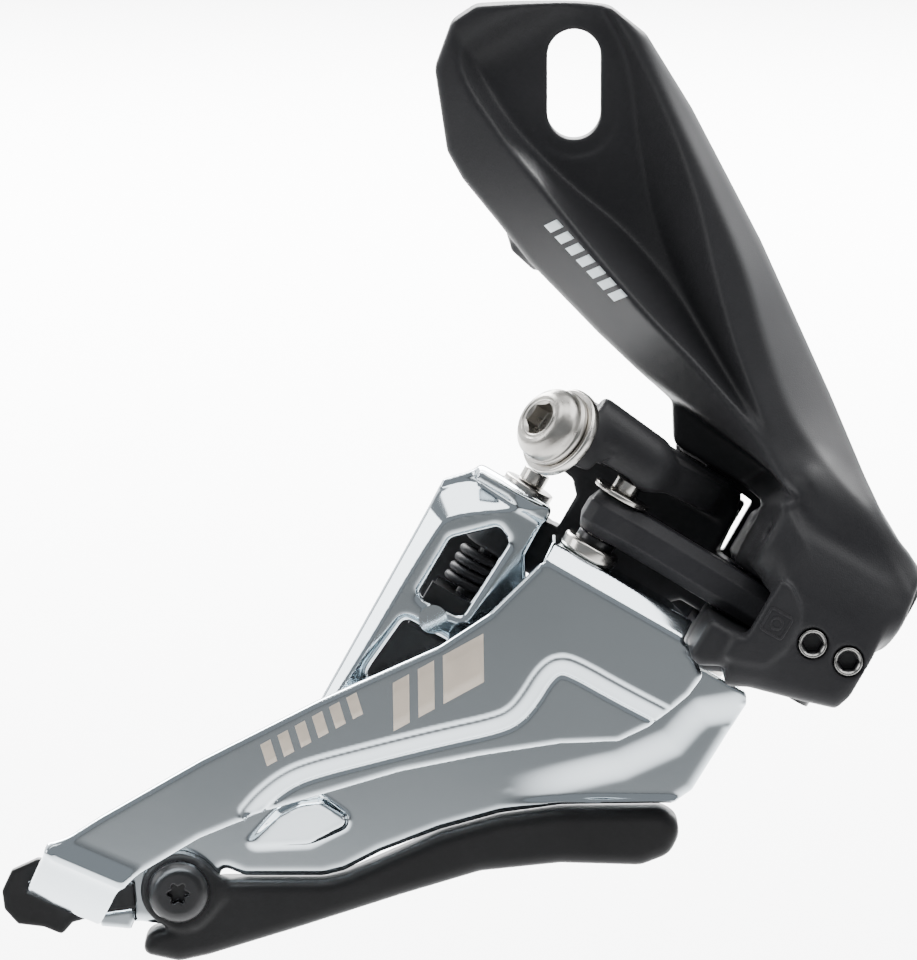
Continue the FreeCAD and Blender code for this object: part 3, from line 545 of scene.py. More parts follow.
def bracket_arm(g):
    """The dished arm, its undercut flank and the seat round the frame-bolt slot."""
    x, z = g.x[:, 0], g.z[0]
    s, q, front = arm_front(x, z)
    edge = np.interp(s, *UNDERCUT)
    deep = np.interp(s, *UNDERCUT_Y)
    drop = np.clip((edge - q) / 0.5, 0, 1) * (s > 36) * np.clip((58.5 - s) / 3.0, 0, 1)
    front = front + drop * np.maximum(deep - front, 0)
    front = soften(front, 0.3 / g.step)
    face = np.clip(-slot_distance(x, z, SPOTFACE_R) / 0.5, 0, 1)
    front = front + face * np.maximum(SPOTFACE_Y - front, 0)
    front = soften(front, 0.2 / g.step)
    lid = ((front[:, None, :] - g.y) / slope_size(front, g.step)[:, None, :]).astype(np.float32)
    back = np.interp(s, ARM_SECTIONS[0], ARM_SECTIONS[1])
    arm = both(lid, outline(g.x, g.z, ARM_OUTLINE, 2.0) - 0.3, 0.8)
    arm = both(arm, g.y - back[:, None, :].astype(np.float32), 0.5)
    return both(arm, g.z - ARM_TOP, 0.3)


def bracket_body(g, f, h):
    """The block behind the forks, blended into the cable barrel."""
    side = [(16.3, 9), (16.3, -9.6), (20.3, -11.2), (25.3, -8.6), (32.2, -6.7),
            (36.5, -5.4), (37.6, -3), (37.6, 9)]
    plan = [(16.3, -9.4), (16.3, -24), (21.8, -26), (21.8, -37), (37.6, -37),
            (37.6, -20), (30.5, -9.4)]
    setback = [(-41, 1.5), (-41, 18), (-33.2, 18), (-33.2, 10.5), (-37, 5.5)]
    body = both(outline(f, h, side, 1.5), outline(f, g.y, plan), 2.2)
    body = less(body, outline(g.y, h, setback), 3.0)
    barrel = post(g.y, h, BARREL_AT, BARREL_R, f, 18.0, 37.8, 1.2)
    return either(body, barrel, 4.5)


def bracket_hollows(whole, g, f, h):
    """Cut the forks and the room for the links, then put the back wall in."""
    outer = [(5, -34.3), (21.9, -34.3), (28, -33), (36.1, -33), (36.1, -24),
             (27.6, -20), (5, -15)]
    inner = [(5, -21), (27.2, -21), (27.2, -6), (5, -6)]
    half = LINK_H + 0.3
    whole = less(whole, prism(f, g.y, outer, 0.0, h, -half, half, 0.6), 0.6)
    whole = less(whole, prism(f, g.y, inner, 0.0, h, -5.8, 2.6, 0.6), 0.6)
    room = both(span(f, 0, 16.2), span(h, -12, 11.4))
    whole = less(whole, both(room, span(g.y, -50, 0), 0.6), 0.8)
    wall = prism(f, h, BACK_WALL, 0.6, g.y, *BACK_WALL_Y, 0.4)
    for slit in BACK_WALL_SLITS:
        wall = less(wall, outline(f, h, slit))
    lip = prism(f, h, BACK_LIP, 0.6, g.y, *BACK_LIP_Y, 0.4)
    return either(whole, either(wall, lip), 0.2)


def bracket():
    g = Block((-20.5, -38.5, -80.0), (45.5, 1.0, 12.0), 0.36)
    f, h = linkage_rows(g)
    fill = prism(f, h, SHOULDER, 2.0, g.y, -32.6, -22.0, 3.5)
    whole = either(bracket_arm(g), either(bracket_body(g, f, h), fill, 1.0), 4.0)
    whole = both(whole, g.x - BARREL_END, 0.2)
    whole = either(whole, post(f, g.y, INNER_BASE, PIN_BOSS_R, h, 2.6, 15.0, 0.8), 0.8)
    whole = either(whole, prism(f, h, PAD, 0.8, g.y, PAD_FACE, -30.0, 0.5), 0.5)
    whole = either(whole, prism(f, h, LOWER_ARM, 1.0, g.y, -36.4, -12.0, 1.2), 1.6)
    bump = [(-8.9, -19.2), (-8.2, -22.1), (-5.2, -24.8), (-3, -23)]
    whole = either(whole, prism(g.x, g.z, bump, 0.6, g.y, -2.8, -0.2, 0.8), 0.8)
    whole = bracket_hollows(whole, g, f, h)
    whole = cut(whole, (post(g.y, h, BARREL_AT, SOCKET_R, f, 30.0, 60.0), 0.5),
                (post(g.y, h, BARREL_AT, CABLE_R, f, 0.0, 60.0), 0.3))
    for place in (HIGH_SCREW, LOW_SCREW):
        whole = less(whole, post(f, h, place, LIMIT_HOLE_R, g.y, -50, -31.0), 0.5)
    whole = less(whole, slot_distance(g.x, g.z, SLOT_R), 0.5)
    piece = skin("mount_bracket_skin", g, whole, 4)
    finish_piece(piece, CAST, "bracket", "cast_black", "mount_bracket")


def pad_badge():
    """Small framed ring on the pad."""
    place = LEAN @ Matrix.Translation((24.0, -37.3, 0.6)) @ FACE_OUT
    g = Block((-2.2, -2.2, -0.3), (2.2, 2.2, 0.5), 0.08, place)
    half, height = 1.7, 0.2
    box = outline(g.x, g.y, [(-half, -half), (half, -half), (half, half), (-half, half)], 0.6)
    plate = both(box, span(g.z, -height, 0.02), 0.1)
    border = both(np.abs(box + 0.16) - 0.15, span(g.z, -height, height), 0.12)
    ring = np.abs(np.sqrt(g.x ** 2 + g.y ** 2) - 0.75) - 0.16
    ring = both(ring, span(g.z, -height, height), 0.12)
    piece = skin("pad_badge", g, either(either(plate, border, 0.08), ring, 0.08), 2)
    finish_piece(piece, CAST, "bracket", "cast_black")


bracket()
pad_badge()


# ---- links ----
OUTER_LINK_HOLE_R = PIN_R + 0.62
INNER_LINK_HOLE_R = PIN_R + 0.65
LINK_WEB_HALF, LINK_EYE_R = 2.4, 4.2
HEAD_ROOM_R, SHANK_ROOM_R = 4.9, 2.2         # round the outer cage pin, as it swings past


def chamfer(a, b, cut):
    """Where both solids are, with a flat cut along their shared edge."""
    return np.maximum(np.maximum(a, b), (a + b + cut) * SLANT)


def outer_link():
    g = Block((-5.4, -34.0, -3.6), (36.8, -16.0, 3.6), 0.2, LEAN)
    ends = np.array((OUTER_CAGE, OUTER_BASE))
    run = (ends[1] - ends[0]) / LINK_LENGTH
    u = (g.x - ends[0][0]) * run[0] + (g.y - ends[0][1]) * run[1]
    v = (g.y - ends[0][1]) * run[0] - (g.x - ends[0][0]) * run[1]
    plan = np.minimum(round_post(u, v, (0, 0), 4.4), round_post(u, v, (LINK_LENGTH, 0), 3.8))
    bar = both(span(u, 0.0, LINK_LENGTH + 3.5), span(v, -3.0, 3.0))
    plan = either(plan, bar, 2.0)
    plan = both(plan, g.x - 35.7, 0.8)
    waist = 0.35 * np.clip((u - 5.0) / 4.0, 0, 1) * np.clip((29.0 - u) / 3.0, 0, 1)
    body = chamfer(plan + waist, np.abs(g.z) - LINK_H, 1.5)
    body = chamfer(body, -4.3 - u, 1.6)
    for at in ends:
        body = less(body, round_post(g.x, g.y, at, OUTER_LINK_HOLE_R), 0.2)
    piece = skin("outer_link_skin", g, body, 2)
    finish_piece(piece, LINK, "outer_link", "link_grey", "outer_link")


def inner_link():
    g = Block((-17.5, -28.5, -14.0), (28.0, -4.0, 14.5), 0.25, LEAN)
    f, y, h = g.x, g.y, g.z
    cos_r, sin_r = math.cos(LINK_REST), math.sin(LINK_REST)
    u = (f - INNER_CAGE[0]) * cos_r - (y - INNER_CAGE[1]) * sin_r
    v = (f - INNER_CAGE[0]) * sin_r + (y - INNER_CAGE[1]) * cos_r
    web = [(0, -13), (17.5, -13), (25, -5.5), (LINK_LENGTH, -5.5), (LINK_LENGTH, 2.3),
           (25.9, 2.3), (25.4, 8.2), (22.6, 8.8), (22.6, 10.6), (-1.6, 10.6), (-1.6, 2.6),
           (0, 1.4), (4.6, 0.8), (6.2, -0.8), (6.2, -5.6), (0, -5.6)]
    solid = both(outline(u, h, web), np.abs(v) - LINK_WEB_HALF, 0.8)
    solid = either(solid, post(f, y, INNER_CAGE, LINK_EYE_R, h, -13.0, -5.6, 0.6), 1.2)
    solid = either(solid, post(f, y, INNER_BASE, LINK_EYE_R, h, -5.5, 2.3, 0.6), 1.2)
    shelf = [(-9.6, -9.6), (-9.6, -22.5), (-7, -25), (3, -24), (11, -19),
             (14.4, -15), (13.8, -11.6)]
    solid = either(solid, prism(f, y, shelf, 1.0, h, 6.4, 10.6, 1.0), 1.5)
    # The cable boss: a barrel that narrows forward to a rounded nose.
    t = np.clip((f + 8.8) / 13.5, 0, 1)
    girth = 3.9 - 0.5 * t
    radial = np.sqrt((y + 22.4) ** 2 + ((h - 9.4 + 0.9 * t) * 0.94) ** 2)
    nose = np.sqrt(np.maximum(f - 0.6, 0) ** 2 * 0.72 + radial ** 2) - girth
    boss = both(nose, -8.6 - f, 1.2)
    for low, start, stop in ((2.0, -6.5, 0.5), (-1.3, -8.0, -3.6)):
        groove = np.sqrt((y + 26.5) ** 2 * 0.4 + (h - 9.4 - low) ** 2)
        groove = both(groove - 0.42, span(f, start, stop), 0.8)
        boss = less(boss, groove, 0.3)
    solid = either(solid, boss, 1.0)
    seat = rod(g, Vector(CLAMP_AT) - CLAMP_AXIS * 5.6, CLAMP_AXIS, 4.6, 4.2)
    solid = either(solid, seat, 1.2)
    solid = less(solid, rod(g, Vector(CLAMP_AT) - CLAMP_AXIS * 1.4, CLAMP_AXIS, 6.6, 9.0), 0.3)
    # Room for the outer pin's head and shank, which pass under the shelf as the cage swings.
    pivot = Vector(INNER_CAGE)
    for k in range(5):
        turn = -math.radians(SWING_RANGE) * k / 4
        at = pivot + Matrix.Rotation(turn, 2) @ (Vector(OUTER_CAGE) - pivot)
        solid = less(solid, post(f, y, at, HEAD_ROOM_R, h, -8.0, 4.1), 0.4)
        solid = less(solid, post(f, y, at, SHANK_ROOM_R, h, 4.0, 5.9), 0.3)
    solid = cut(solid, (post(f, y, INNER_BASE, 6.3, h, 2.3, 12.0), 0.4),
                (post(f, y, INNER_CAGE, 5.2, h, -5.6, 0.4), 0.4),
                (post(f, y, INNER_CAGE, INNER_LINK_HOLE_R, h, -20, 0), 0),
                (post(f, y, INNER_BASE, INNER_LINK_HOLE_R, h, -20, 2.4), 0),
                (rod(g, Vector(CLAMP_AT) - CLAMP_AXIS * 4.4, CLAMP_AXIS, 2.0, 12.0), 0))
    piece = skin("inner_link_skin", g, solid, 3)
    finish_piece(piece, CAST, "inner_link", "link_grey", "inner_link")


outer_link()
inner_link()


# ---- cage ----
OUTER_PLATE = [(15.7, -73), (16.5, -74.8), (14.6, -77.4), (9.6, -81.6), (5.6, -83.6),
               (-2, -83.9), (-12.4, -85.5), (-22.8, -87.6), (-41.6, -93.2), (-48.8, -96.2),
               (-59, -102.3), (-68.9, -98), (-61.7, -93.4), (-48.7, -85.9),
               (-33.4, -78.1), (-17.6, -70.9), (-11.1, -66.6)]
TAIL_FOLD = ((-68.9, -98), (-59, -102.3))
TAIL_RUN = (-3.4, -7.4)
TAIL_FOOT_Y, TAIL_BLOCK_Y = -17.9, -16.4
TAIL_BULGE = 0.5
# The line where the outer plate's upper field steps down to its lower one.
STEP_LINE = [(-42.2, -92.9), (-40.5, -90.9), (-37.6, -88.6), (-34.4, -87.2), (-25.6, -84.9),
             (-17.6, -82.9), (-9.9, -81.2), (-7.6, -79.9), (-5.9, -77.8), (-4.1, -74.8),
             (-2.4, -73.4), (-0.4, -73.7), (5.7, -77.2), (12.2, -80.6)]
STEP_DEPTH, STEP_RUN = 1.0, 2.2


def path_distance(a, b, line):
    """Distance to an open polyline and the side of it, positive on its left."""
    near = np.full(np.broadcast(a, b).shape, 1e9, np.float32)
    side = np.zeros(near.shape, np.float32)
    for p, q in zip(line, line[1:]):
        run = Vector(q) - Vector(p)
        t = np.clip(((a - p[0]) * run.x + (b - p[1]) * run.y) / run.length_squared, 0, 1)
        dx, dy = a - p[0] - run.x * t, b - p[1] - run.y * t
        d = dx * dx + dy * dy
        closer = d < near - 1e-6
        near = np.where(closer, d, near)
        side = np.where(closer, np.sign(run.x * dy - run.y * dx), side)
    return np.sqrt(near), side


def smooth_step(t):
    t = np.clip(t, 0, 1)
    return t * t * (3 - 2 * t)


def sheet(g, shape, height, face, soft):
    """Bent sheet of one thickness: height is how far it lies inboard of its face."""
    y0 = (face + height)[:, None, :]
    tilt = slope_size(height, g.step)[:, None, :]
    slab = np.abs(g.y - y0 - PLATE / 2) / tilt - PLATE / 2
    return both(shape, slab, soft)


def curve_points(points, rounds=2):
    """Corner-cut an open polyline into a smooth one."""
    for _ in range(rounds):
        cut = [points[0]]
        for (ax, ay), (bx, by) in zip(points, points[1:]):
            cut += [(0.75 * ax + 0.25 * bx, 0.75 * ay + 0.25 * by),
                    (0.25 * ax + 0.75 * bx, 0.25 * ay + 0.75 * by)]
        points = cut + [points[-1]]
    return points


FOLD_FLAT = 0.6            # how far the fold is flattened across its middle


def outer_plate():
    g = Block((-73.5, -28.6, -111.0), (18.0, -12.0, -56.0), 0.24)
    x, z = g.x[:, 0], g.z[0]
    shape = outline(x, z, [row_point(-5.0, FOLD_H), row_point(15.9, FOLD_H)] + OUTER_PLATE, 1.2)
    far, side = path_distance(x, z, curve_points(STEP_LINE))
    signed = far * side
    f, h = linkage_rows(g)
    height = STEP_DEPTH * np.clip(0.5 - signed / STEP_RUN, 0, 1)
    rim = np.clip(1 + shape / 0.8, 0, 1) * smooth_step((FOLD_H - 0.4 - h[:, 0]) / 0.8)
    groove = 0.2 * np.exp(-((np.abs(signed) - 1.25) / 0.26) ** 2)
    height = soften((height + 0.35 * rim ** 2 + groove).astype(np.float32), 0.1 / g.step)
    whole = sheet(g, shape[:, None, :], height, OUTER_FACE, 0.3)
    # Fold: an arc in (y, h) that turns the sheet inboard.
    mid = OUTER_FACE + FOLD_R
    arc = np.abs(np.sqrt((g.y - mid) ** 2 + (h - FOLD_H) ** 2) - FOLD_R + PLATE / 2) - PLATE / 2
    arc = both(both(arc, g.y - mid), both(FOLD_H - h, span(f, -5.0, 15.9)), 0.4)
    bevel = (mid - g.y + h - FOLD_H) * SLANT - (FOLD_R - FOLD_FLAT)
    arc = both(arc, bevel, 0.2)
    top = FOLD_H + FOLD_R
    flange = [(-5.0, mid), (15.9, mid), (15.3, -23.6), (13, -17.6), (4, -17.2),
              (4, -15.9), (-4, -15.9), (-5, -18)]
    shelf = prism(f, g.y, flange, 0.0, h, top - PLATE, top, 0.4)
    leg = both(both(span(f, -4, 4), span(h, -18.2, top), 0.6), span(g.y, -15.9, -14.5), 0.4)
    whole = either(either(either(whole, arc, 0.3), shelf, 0.4), leg, 0.6)
    whole = less(whole, post(f, g.y, OUTER_CAGE, PIN_R, h, -12, 0))
    # Tail: folds inboard and down, then a tongue to the tail block.
    a, b = [Vector((p[0], OUTER_FACE, p[1])) for p in TAIL_FOLD]
    run = Vector((TAIL_RUN[0], TAIL_FOOT_Y - OUTER_FACE, TAIL_RUN[1]))
    across = (b - a).normalized()
    normal = across.cross(run).normalized()
    if normal.y < 0:
        normal = -normal
    down_axis = normal.cross(across)
    lift, along, down = [past(g, a, axis) for axis in (normal, across, down_axis)]
    reach = run.dot(down_axis)
    lean = run.dot(across) / reach
    bulge = TAIL_BULGE * np.sin(np.pi * np.clip(down / reach, 0, 1))
    slab = both(span(lift + bulge, 0, PLATE), span(along - lean * down, 0, (b - a).length), 0.5)
    slab = both(slab, span(down, min(0, reach), max(0, reach)), 0.5)
    whole = either(whole, slab, 2.2)
    p = a + Vector((run.x, 0, run.z))
    tongue = [p + (b - a) * k - Vector((run.x, 0, run.z)).normalized() * d
              for k, d in ((0.36, 0), (0.74, 0), (0.74, PLATE), (0.36, PLATE))]
    tongue = prism(g.x, g.z, [(c.x, c.z) for c in tongue], 0.0, g.y, TAIL_FOOT_Y + 0.2, -13.1, 0.2)
    whole = either(whole, tongue, 0.4)
    piece = skin("cage_outer_plate_skin", g, whole, 3)
    finish_piece(piece, CHROME, "cage", "cage_chrome", "cage_outer_plate")


INNER_TOP = -3.9           # height of the inner plate's top flange, up the pins
INNER_PLATE = [row_point(-20.4, -7.8), row_point(-16.7, INNER_TOP), row_point(-6.5, INNER_TOP),
               row_point(-6.3, -10.7), row_point(-4.5, -13.6), row_point(13.0, -13.6),
               row_point(15.0, -12.0), row_point(28.0, -12.0), (22.7, -80.8), (15.6, -92.4),
               (13.2, -94), (-1.8, -94.2), (-9.7, -95.3), (-17.6, -97.5), (-25.5, -100.5),
               (-30.2, -103), (-33, -103.7), (-43.3, -103.7), (-46.4, -102.4),
               (-47.4, -108), (-52, -110.6), (-57.2, -109.8), (-62, -110.2),
               (-64, -107.6), (-71.6, -107), (-72, -103.6), (-60, -96.4),
               (-46, -88.5), (-34, -81.5)]
WINDOWS = [[(-20.4, -66), (-16.2, -58.8), (-9.9, -57.2), (-8.5, -59.2), (-14.8, -69.2),
            (-19.6, -66.9)],
           [(-28.4, -78), (-22.3, -69.3), (-16.2, -72.6), (-18, -74)]]
ROLL_LINE = [(-62, -98.5), (-46, -89.5), (-33, -82), (-30.2, -78.6), (-17.8, -57.4),
             (-16, -56), (-12.4, -55.4), (-3.3, -54.7)]
PAD_OUTLINE = [(-42.7, -99.2), (-38.7, -95.2), (-36.1, -93.8), (-33.4, -93.4), (-30.1, -95.7),
               (-30.1, -96.8), (-34.8, -99.3), (-42, -99.7)]
RAMP_LINE = [(-7.7, -92), (6.1, -88.9), (12.9, -85.8), (15.3, -83.1), (16.8, -81.8),
             (21.6, -81)]


def inner_plate():
    g = Block((-73.5, -17.0, -112.0), (25.0, -3.6, -49.0), 0.25)
    x, z = g.x[:, 0], g.z[0]
    shape = outline(x, z, INNER_PLATE, 1.0)
    far, side = path_distance(x, z, curve_points(ROLL_LINE))
    height = 0.84 * np.clip(np.where(side > 0, far, 0), 0, 4.0)
    rim = np.clip(1 + shape / 1.1, 0, 1) * (z < -84)
    height = height + 0.35 * rim ** 2
    for window in WINDOWS:
        gap = outline(x, z, window, 1.1)
        shape = less(shape, gap, 0)
        lip = np.clip(1 - gap / 1.2, 0, 1)
        height = height + 0.6 * lip ** 2 * (gap > -1.5)
    raised = outline(x, z, PAD_OUTLINE, 1.2)
    lean = 0.2 * (z + 96.5)
    height = height - (0.9 + lean) * np.clip(0.5 - raised / 0.9, 0, 1)
    far, side = path_distance(x, z, RAMP_LINE)
    fade = smooth_step((x + 10) / 14) * smooth_step((z + 94.5) / 1.5)
    height = height + 0.9 * smooth_step(0.5 - far * side / 4.4) * fade
    height = soften(height.astype(np.float32), 0.15 / g.step)
    whole = sheet(g, shape[:, None, :], height, INNER_FACE, 0.3)
    f, h = linkage_rows(g)
    flange = [(-17.0, INNER_FACE), (-6.5, INNER_FACE), (-6.3, -6.5), (-8.2, -4.4),
              (-11.8, -4.4), (-17, -10)]
    top = prism(f, g.y, flange, 0.0, h, INNER_TOP - PLATE, INNER_TOP, 0.4)
    whole = either(whole, top, 1.2)
    tab = [(-62.3, -108.2), (-58, -107.6), (-57.8, -109.2), (-58.3, -110.4), (-62.3, -110)]
    whole = either(whole, prism(g.x, g.z, tab, 0.3, g.y, -16.6, -13.4, 0.3), 0.3)
    whole = cut(whole, (post(f, g.y, INNER_CAGE, PIN_R, h, -8, 0), 0),
                (post(g.x, g.z, TORX_AT, TORX_SHANK_R, g.y, -20, -8), 0))
    piece = skin("cage_inner_plate_skin", g, whole, 3)
    finish_piece(piece, CHROME, "cage", "cage_chrome", "cage_inner_plate")


outer_plate()
inner_plate()

SKID = [(-47.6, -103.9), (-43.3, -103.9), (-32.8, -103.9), (-30, -103.2), (-17.6, -97.7),
        (-9.7, -95.5), (-1.8, -94.4), (11.6, -94.3), (13.6, -95.6), (13.9, -97.8),
        (12.6, -100.4), (8.8, -101.9), (-1.8, -101.6), (-12.3, -102.7), (-22.9, -105.9),
        (-36.1, -110.2), (-48, -113.9), (-52, -114.8), (-56.9, -113.7), (-56.2, -110.8),
        (-52, -110)]
SKID_OUT, SKID_IN = -17.2, -10.4


def skid_plate():
    g = Block((-58.5, -18.4, -115.6), (15.0, -9.6, -90.5), 0.24)
    beam = prism(g.x, g.z, SKID, 3.0, g.y, SKID_OUT, SKID_IN, 1.6)
    keep = prism(g.x, g.z, INNER_PLATE, 1.0, g.y, INNER_FACE, INNER_FACE + PLATE)
    boss = post(g.x, g.z, TORX_AT, 5.0, g.y, SKID_OUT, INNER_FACE, 0.6)
    rib = [(-49, -102), (-46, -103.9), (-46, -106), (-50, -110)]
    rib = prism(g.x, g.z, rib, 0.3, g.y, SKID_OUT, INNER_FACE, 0.6)
    whole = either(either(beam, boss, 1.0), rib, 1.0)
    whole = cut(whole, (keep, 0.2), (post(g.x, g.z, TORX_AT, TORX_SHANK_R, g.y, -25, 0), 0))
    piece = skin("skid_plate_skin", g, whole, 3)
    finish_piece(piece, GUARD, "cage", "guard_plastic", "skid_plate")


def tail_block():
    edge = [(-75.3, -105.4), (-74, -102.6), (-70.5, -101), (-60.5, -103.6),
            (-57.9, -104.4), (-57.6, -107.8), (-61.8, -108.4), (-66, -109.6),
            (-67.4, -111.2), (-69.8, -110.2), (-73.2, -109.8), (-75, -107.8)]
    g = Block((-76.0, -17.0, -112.0), (-57.0, -14.0, -100.0), 0.16)
    whole = prism(g.x, g.z, edge, 0.7, g.y, TAIL_BLOCK_Y, INNER_FACE, 0.5)
    piece = skin("tail_block_skin", g, whole, 2)
    finish_piece(piece, GUARD, "cage", "guard_plastic", "tail_block")


skid_plate()
tail_block()


# ---- hardware ----
CLAMP_HEAD_R, CLAMP_FLANGE_R, CLAMP_TOP, CLAMP_KEY = 4.9, 5.2, 3.8, 4.0
TORX_HEAD_R, TORX_TOP, TORX_STAR_R, TORX_LOBE = 4.1, 1.8, 1.25, 0.24
# Inside the limit screws' sockets, out to a radius, the faces are painted black: painted shade.
LIMIT_RIM_R, LIMIT_KEY, LIMIT_SOCKET_SHADE_R, LIMIT_Y = 1.85, 2.3, 1.38, -37.0


def hex_prism(across_flats, axis_u, axis_v):
    """Distance to a hexagon over two local coordinates."""
    sides = [axis_u * math.cos(math.radians(60 * k)) + axis_v * math.sin(math.radians(60 * k))
             for k in range(3)]
    return np.maximum.reduce([np.abs(s) for s in sides]) - across_flats / 2


def turned(name, place, sizes, mat, body, slot, *nodes):
    """A turned piece: sizes are hole radius, radius, bottom, top and edge."""
    finish_piece(lathe(name, place, ring_profile(*sizes)), mat, body, slot, *nodes)


def clamp_bolt():
    place = place_along(CLAMP_AT, CLAMP_AXIS)
    g = Block((-5.6, -5.6, -0.2), (5.6, 5.6, 4.4), 0.09, place)
    r = np.sqrt(g.x ** 2 + g.y ** 2)
    head = both(r - CLAMP_HEAD_R, span(g.z, 0.7, CLAMP_TOP), 0.3)
    head = both(head, (r - CLAMP_HEAD_R + (g.z - 2.3)) * SLANT, 0.5)
    head = either(head, both(r - CLAMP_FLANGE_R, span(g.z, 0, 0.9), 0.3), 0.15)
    ring = both(np.abs(r - 2.75) - 0.16, span(g.z, 3.6, 5.0))
    head = less(head, ring, 0.15)
    key = both(hex_prism(CLAMP_KEY, g.x, g.y), span(g.z, 1.2, 5.0), 0.1)
    lead = (r - 2.45 + (CLAMP_TOP - g.z)) * SLANT
    head = less(less(head, key, 0.15), both(lead, span(g.z, 3.2, 5.0)), 0.1)
    piece = skin("clamp_bolt_head", g, head, 2)
    finish_piece(piece, HEAD, "inner_link", "screw_steel", "cable_clamp_bolt")
    turned("clamp_washer_skin", place, (2.3, 6.0, -1.4, -0.05, 0.35), PIN, "inner_link",
           "pin_steel", "cable_clamp_washer")
    turned("clamp_bolt_shank", place, (0.2, 2.0, -4.4, 0.0, 0.2), PIN, "inner_link",
           "screw_steel")


def torx_screw():
    place = Matrix.Translation((TORX_AT[0], SKID_OUT, TORX_AT[1])) @ FACE_OUT
    g = Block((-4.4, -4.4, -0.2), (4.4, 4.4, 2.2), 0.08, place)
    r = np.sqrt(g.x ** 2 + g.y ** 2)
    head = both(r - TORX_HEAD_R, span(g.z, 0, TORX_TOP), 0.3)
    head = both(head, (r - TORX_HEAD_R + 1.1 * (g.z - 0.9)) * 0.67, 0.4)
    angle = np.arctan2(g.y, g.x)
    star = r - (TORX_STAR_R + TORX_LOBE * np.cos(6 * angle))
    head = less(head, both(star, span(g.z, 0.3, 3.0), 0.1), 0.12)
    piece = skin("torx_head", g, head, 2)
    finish_piece(piece, BLACK, "cage", "black_steel", "skid_plate_screw")
    turned("torx_shank", place, (0.2, TORX_SHANK_R, -5.6, 0.1, 0.2), BLACK, "cage",
           "black_steel")


def limit_screws():
    for name, (f, h) in (("high", HIGH_SCREW), ("low", LOW_SCREW)):
        place = LEAN @ Matrix.Translation((f, LIMIT_Y, h)) @ FACE_OUT
        g = Block((-2.2, -2.2, -3.2), (2.2, 2.2, 0.4), 0.06, place)
        r = np.sqrt(g.x ** 2 + g.y ** 2)
        rim = both(r - LIMIT_RIM_R, span(g.z, -3.0, 0.1), 0.25)
        rim = less(rim, both(hex_prism(LIMIT_KEY, g.x, g.y), span(g.z, -2.0, 1.0), 0.1), 0.1)
        rim = less(rim, both((r - 1.5 - g.z) * SLANT, span(g.z, -0.5, 1.0)), 0.1)
        piece = skin(name + "_limit_screw_skin", g, rim, 2)
        piece.data.materials.append(SCREW)
        # The black second finish goes on the faces inside the hex socket: painted shade for the
        # dark hollow.
        piece.data.materials.append(BLACK)
        local = place.inverted()
        for face in piece.data.polygons:
            at = local @ (face.center / MM)
            if at.xy.length < LIMIT_SOCKET_SHADE_R:
                face.material_index = 1
        body = name + "_limit_screw"
        finish_piece(piece, SCREW, body, "screw_steel", body)


def pins():
    """Heads, shanks, washers and spacers of the two cage pins."""
    rows = [
        ("outer_cage_pin_head", OUTER_CAGE, (0.3, PIN_R + 0.3, 3.6, 5.5, 0.25), "outer_cage_pin"),
        ("outer_cage_pin_shank", OUTER_CAGE, (0.2, PIN_R, -8.2, 3.7, 0.1), None),
        ("outer_pin_washer_skin", OUTER_CAGE, (PIN_R, 3.9, 2.95, 3.65, 0.2), "outer_pin_washer"),
        ("outer_pin_disc", OUTER_CAGE, (PIN_R, 3.9, -5.95, -4.0, 0.5), "outer_pin_spacer"),
        ("outer_pin_collar", OUTER_CAGE, (PIN_R, 2.6, -4.1, -2.95, 0.15), None),
        ("inner_cage_pin_head", INNER_CAGE, (0.3, PIN_R + 0.3, -2.9, -0.9, 0.25),
         "inner_cage_pin"),
        ("inner_cage_pin_shank", INNER_CAGE, (0.2, PIN_R, -22.4, -2.8, 0.1), None),
        ("inner_pin_washer_skin", INNER_CAGE, (PIN_R, 3.5, -3.85, -2.95, 0.2),
         "inner_pin_washer"),
    ]
    for name, at, sizes, node in rows:
        place = LEAN @ Matrix.Translation((*at, 0))
        mat = BLACK if name in ("outer_pin_collar", "inner_cage_pin_shank") else PIN
        turned(name, place, sizes, mat, "cage", "pin_steel", *([node] if node else []))


clamp_bolt()
torx_screw()
limit_screws()
pins()

KEPT = {
    "cable_entry_liner": BUSH, "outer_base_pin": BLACK, "inner_base_pin": PIN,
    "outer_link_bushes": BUSH, "inner_link_bushes": BUSH, "lower_pin_support": BLACK,
    "bridge_rivets": PIN, "support_rivets": CHROME, "inner_pin_clip": BLACK,
    "return_spring": SPRING, "spring_cover": GUARD, "tail_rivet": PIN,
}
for node, mat in KEPT.items():
    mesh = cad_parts[node].data
    mesh.materials.clear()
    mesh.materials.append(mat)


# ---- generic marks ----
def mark(name, corners, height, mat, body, slot):
    """Thin slanted bar laid on a surface: corners are (x, z), height gives the surface's y."""
    a, b, c, d = [Vector(p) for p in corners]
    across_n, down_n = 8, 4
    points, faces = [], []
    for lift in (-0.05, 0.15):
        for j in range(down_n + 1):
            for i in range(across_n + 1):
                u, v = i / across_n, j / down_n
                p = a.lerp(b, u).lerp(d.lerp(c, u), v)
                points.append(Vector((p.x, height(p.x, p.y) + lift, p.y)) * MM)
    wide = across_n + 1
    layer = wide * (down_n + 1)
    for j in range(down_n):
        for i in range(across_n):
            k = j * wide + i
            faces.append((k, k + 1, k + wide + 1, k + wide))
            faces.append(tuple(layer + m for m in (k, k + wide, k + wide + 1, k + 1)))
    rim = (list(range(across_n)) + [across_n + wide * j for j in range(down_n)]
           + [layer - 1 - i for i in range(across_n)]
           + [layer - wide - wide * j for j in range(down_n)])
    faces += [(p, q, layer + q, layer + p) for p, q in zip(rim, rim[1:] + rim[:1])]
    finish_piece(from_faces(name, points, faces), mat, body, slot)


def slanted(at, along, width, rise, lean):
    """Corners of a leaning bar standing on a baseline direction."""
    run = Vector(along).normalized()
    up = Vector((-run.y, run.x))
    base = Vector(at)
    tilt = run * lean
    return [base, base + run * width, base + run * width + up * rise + tilt,
            base + up * rise + tilt]


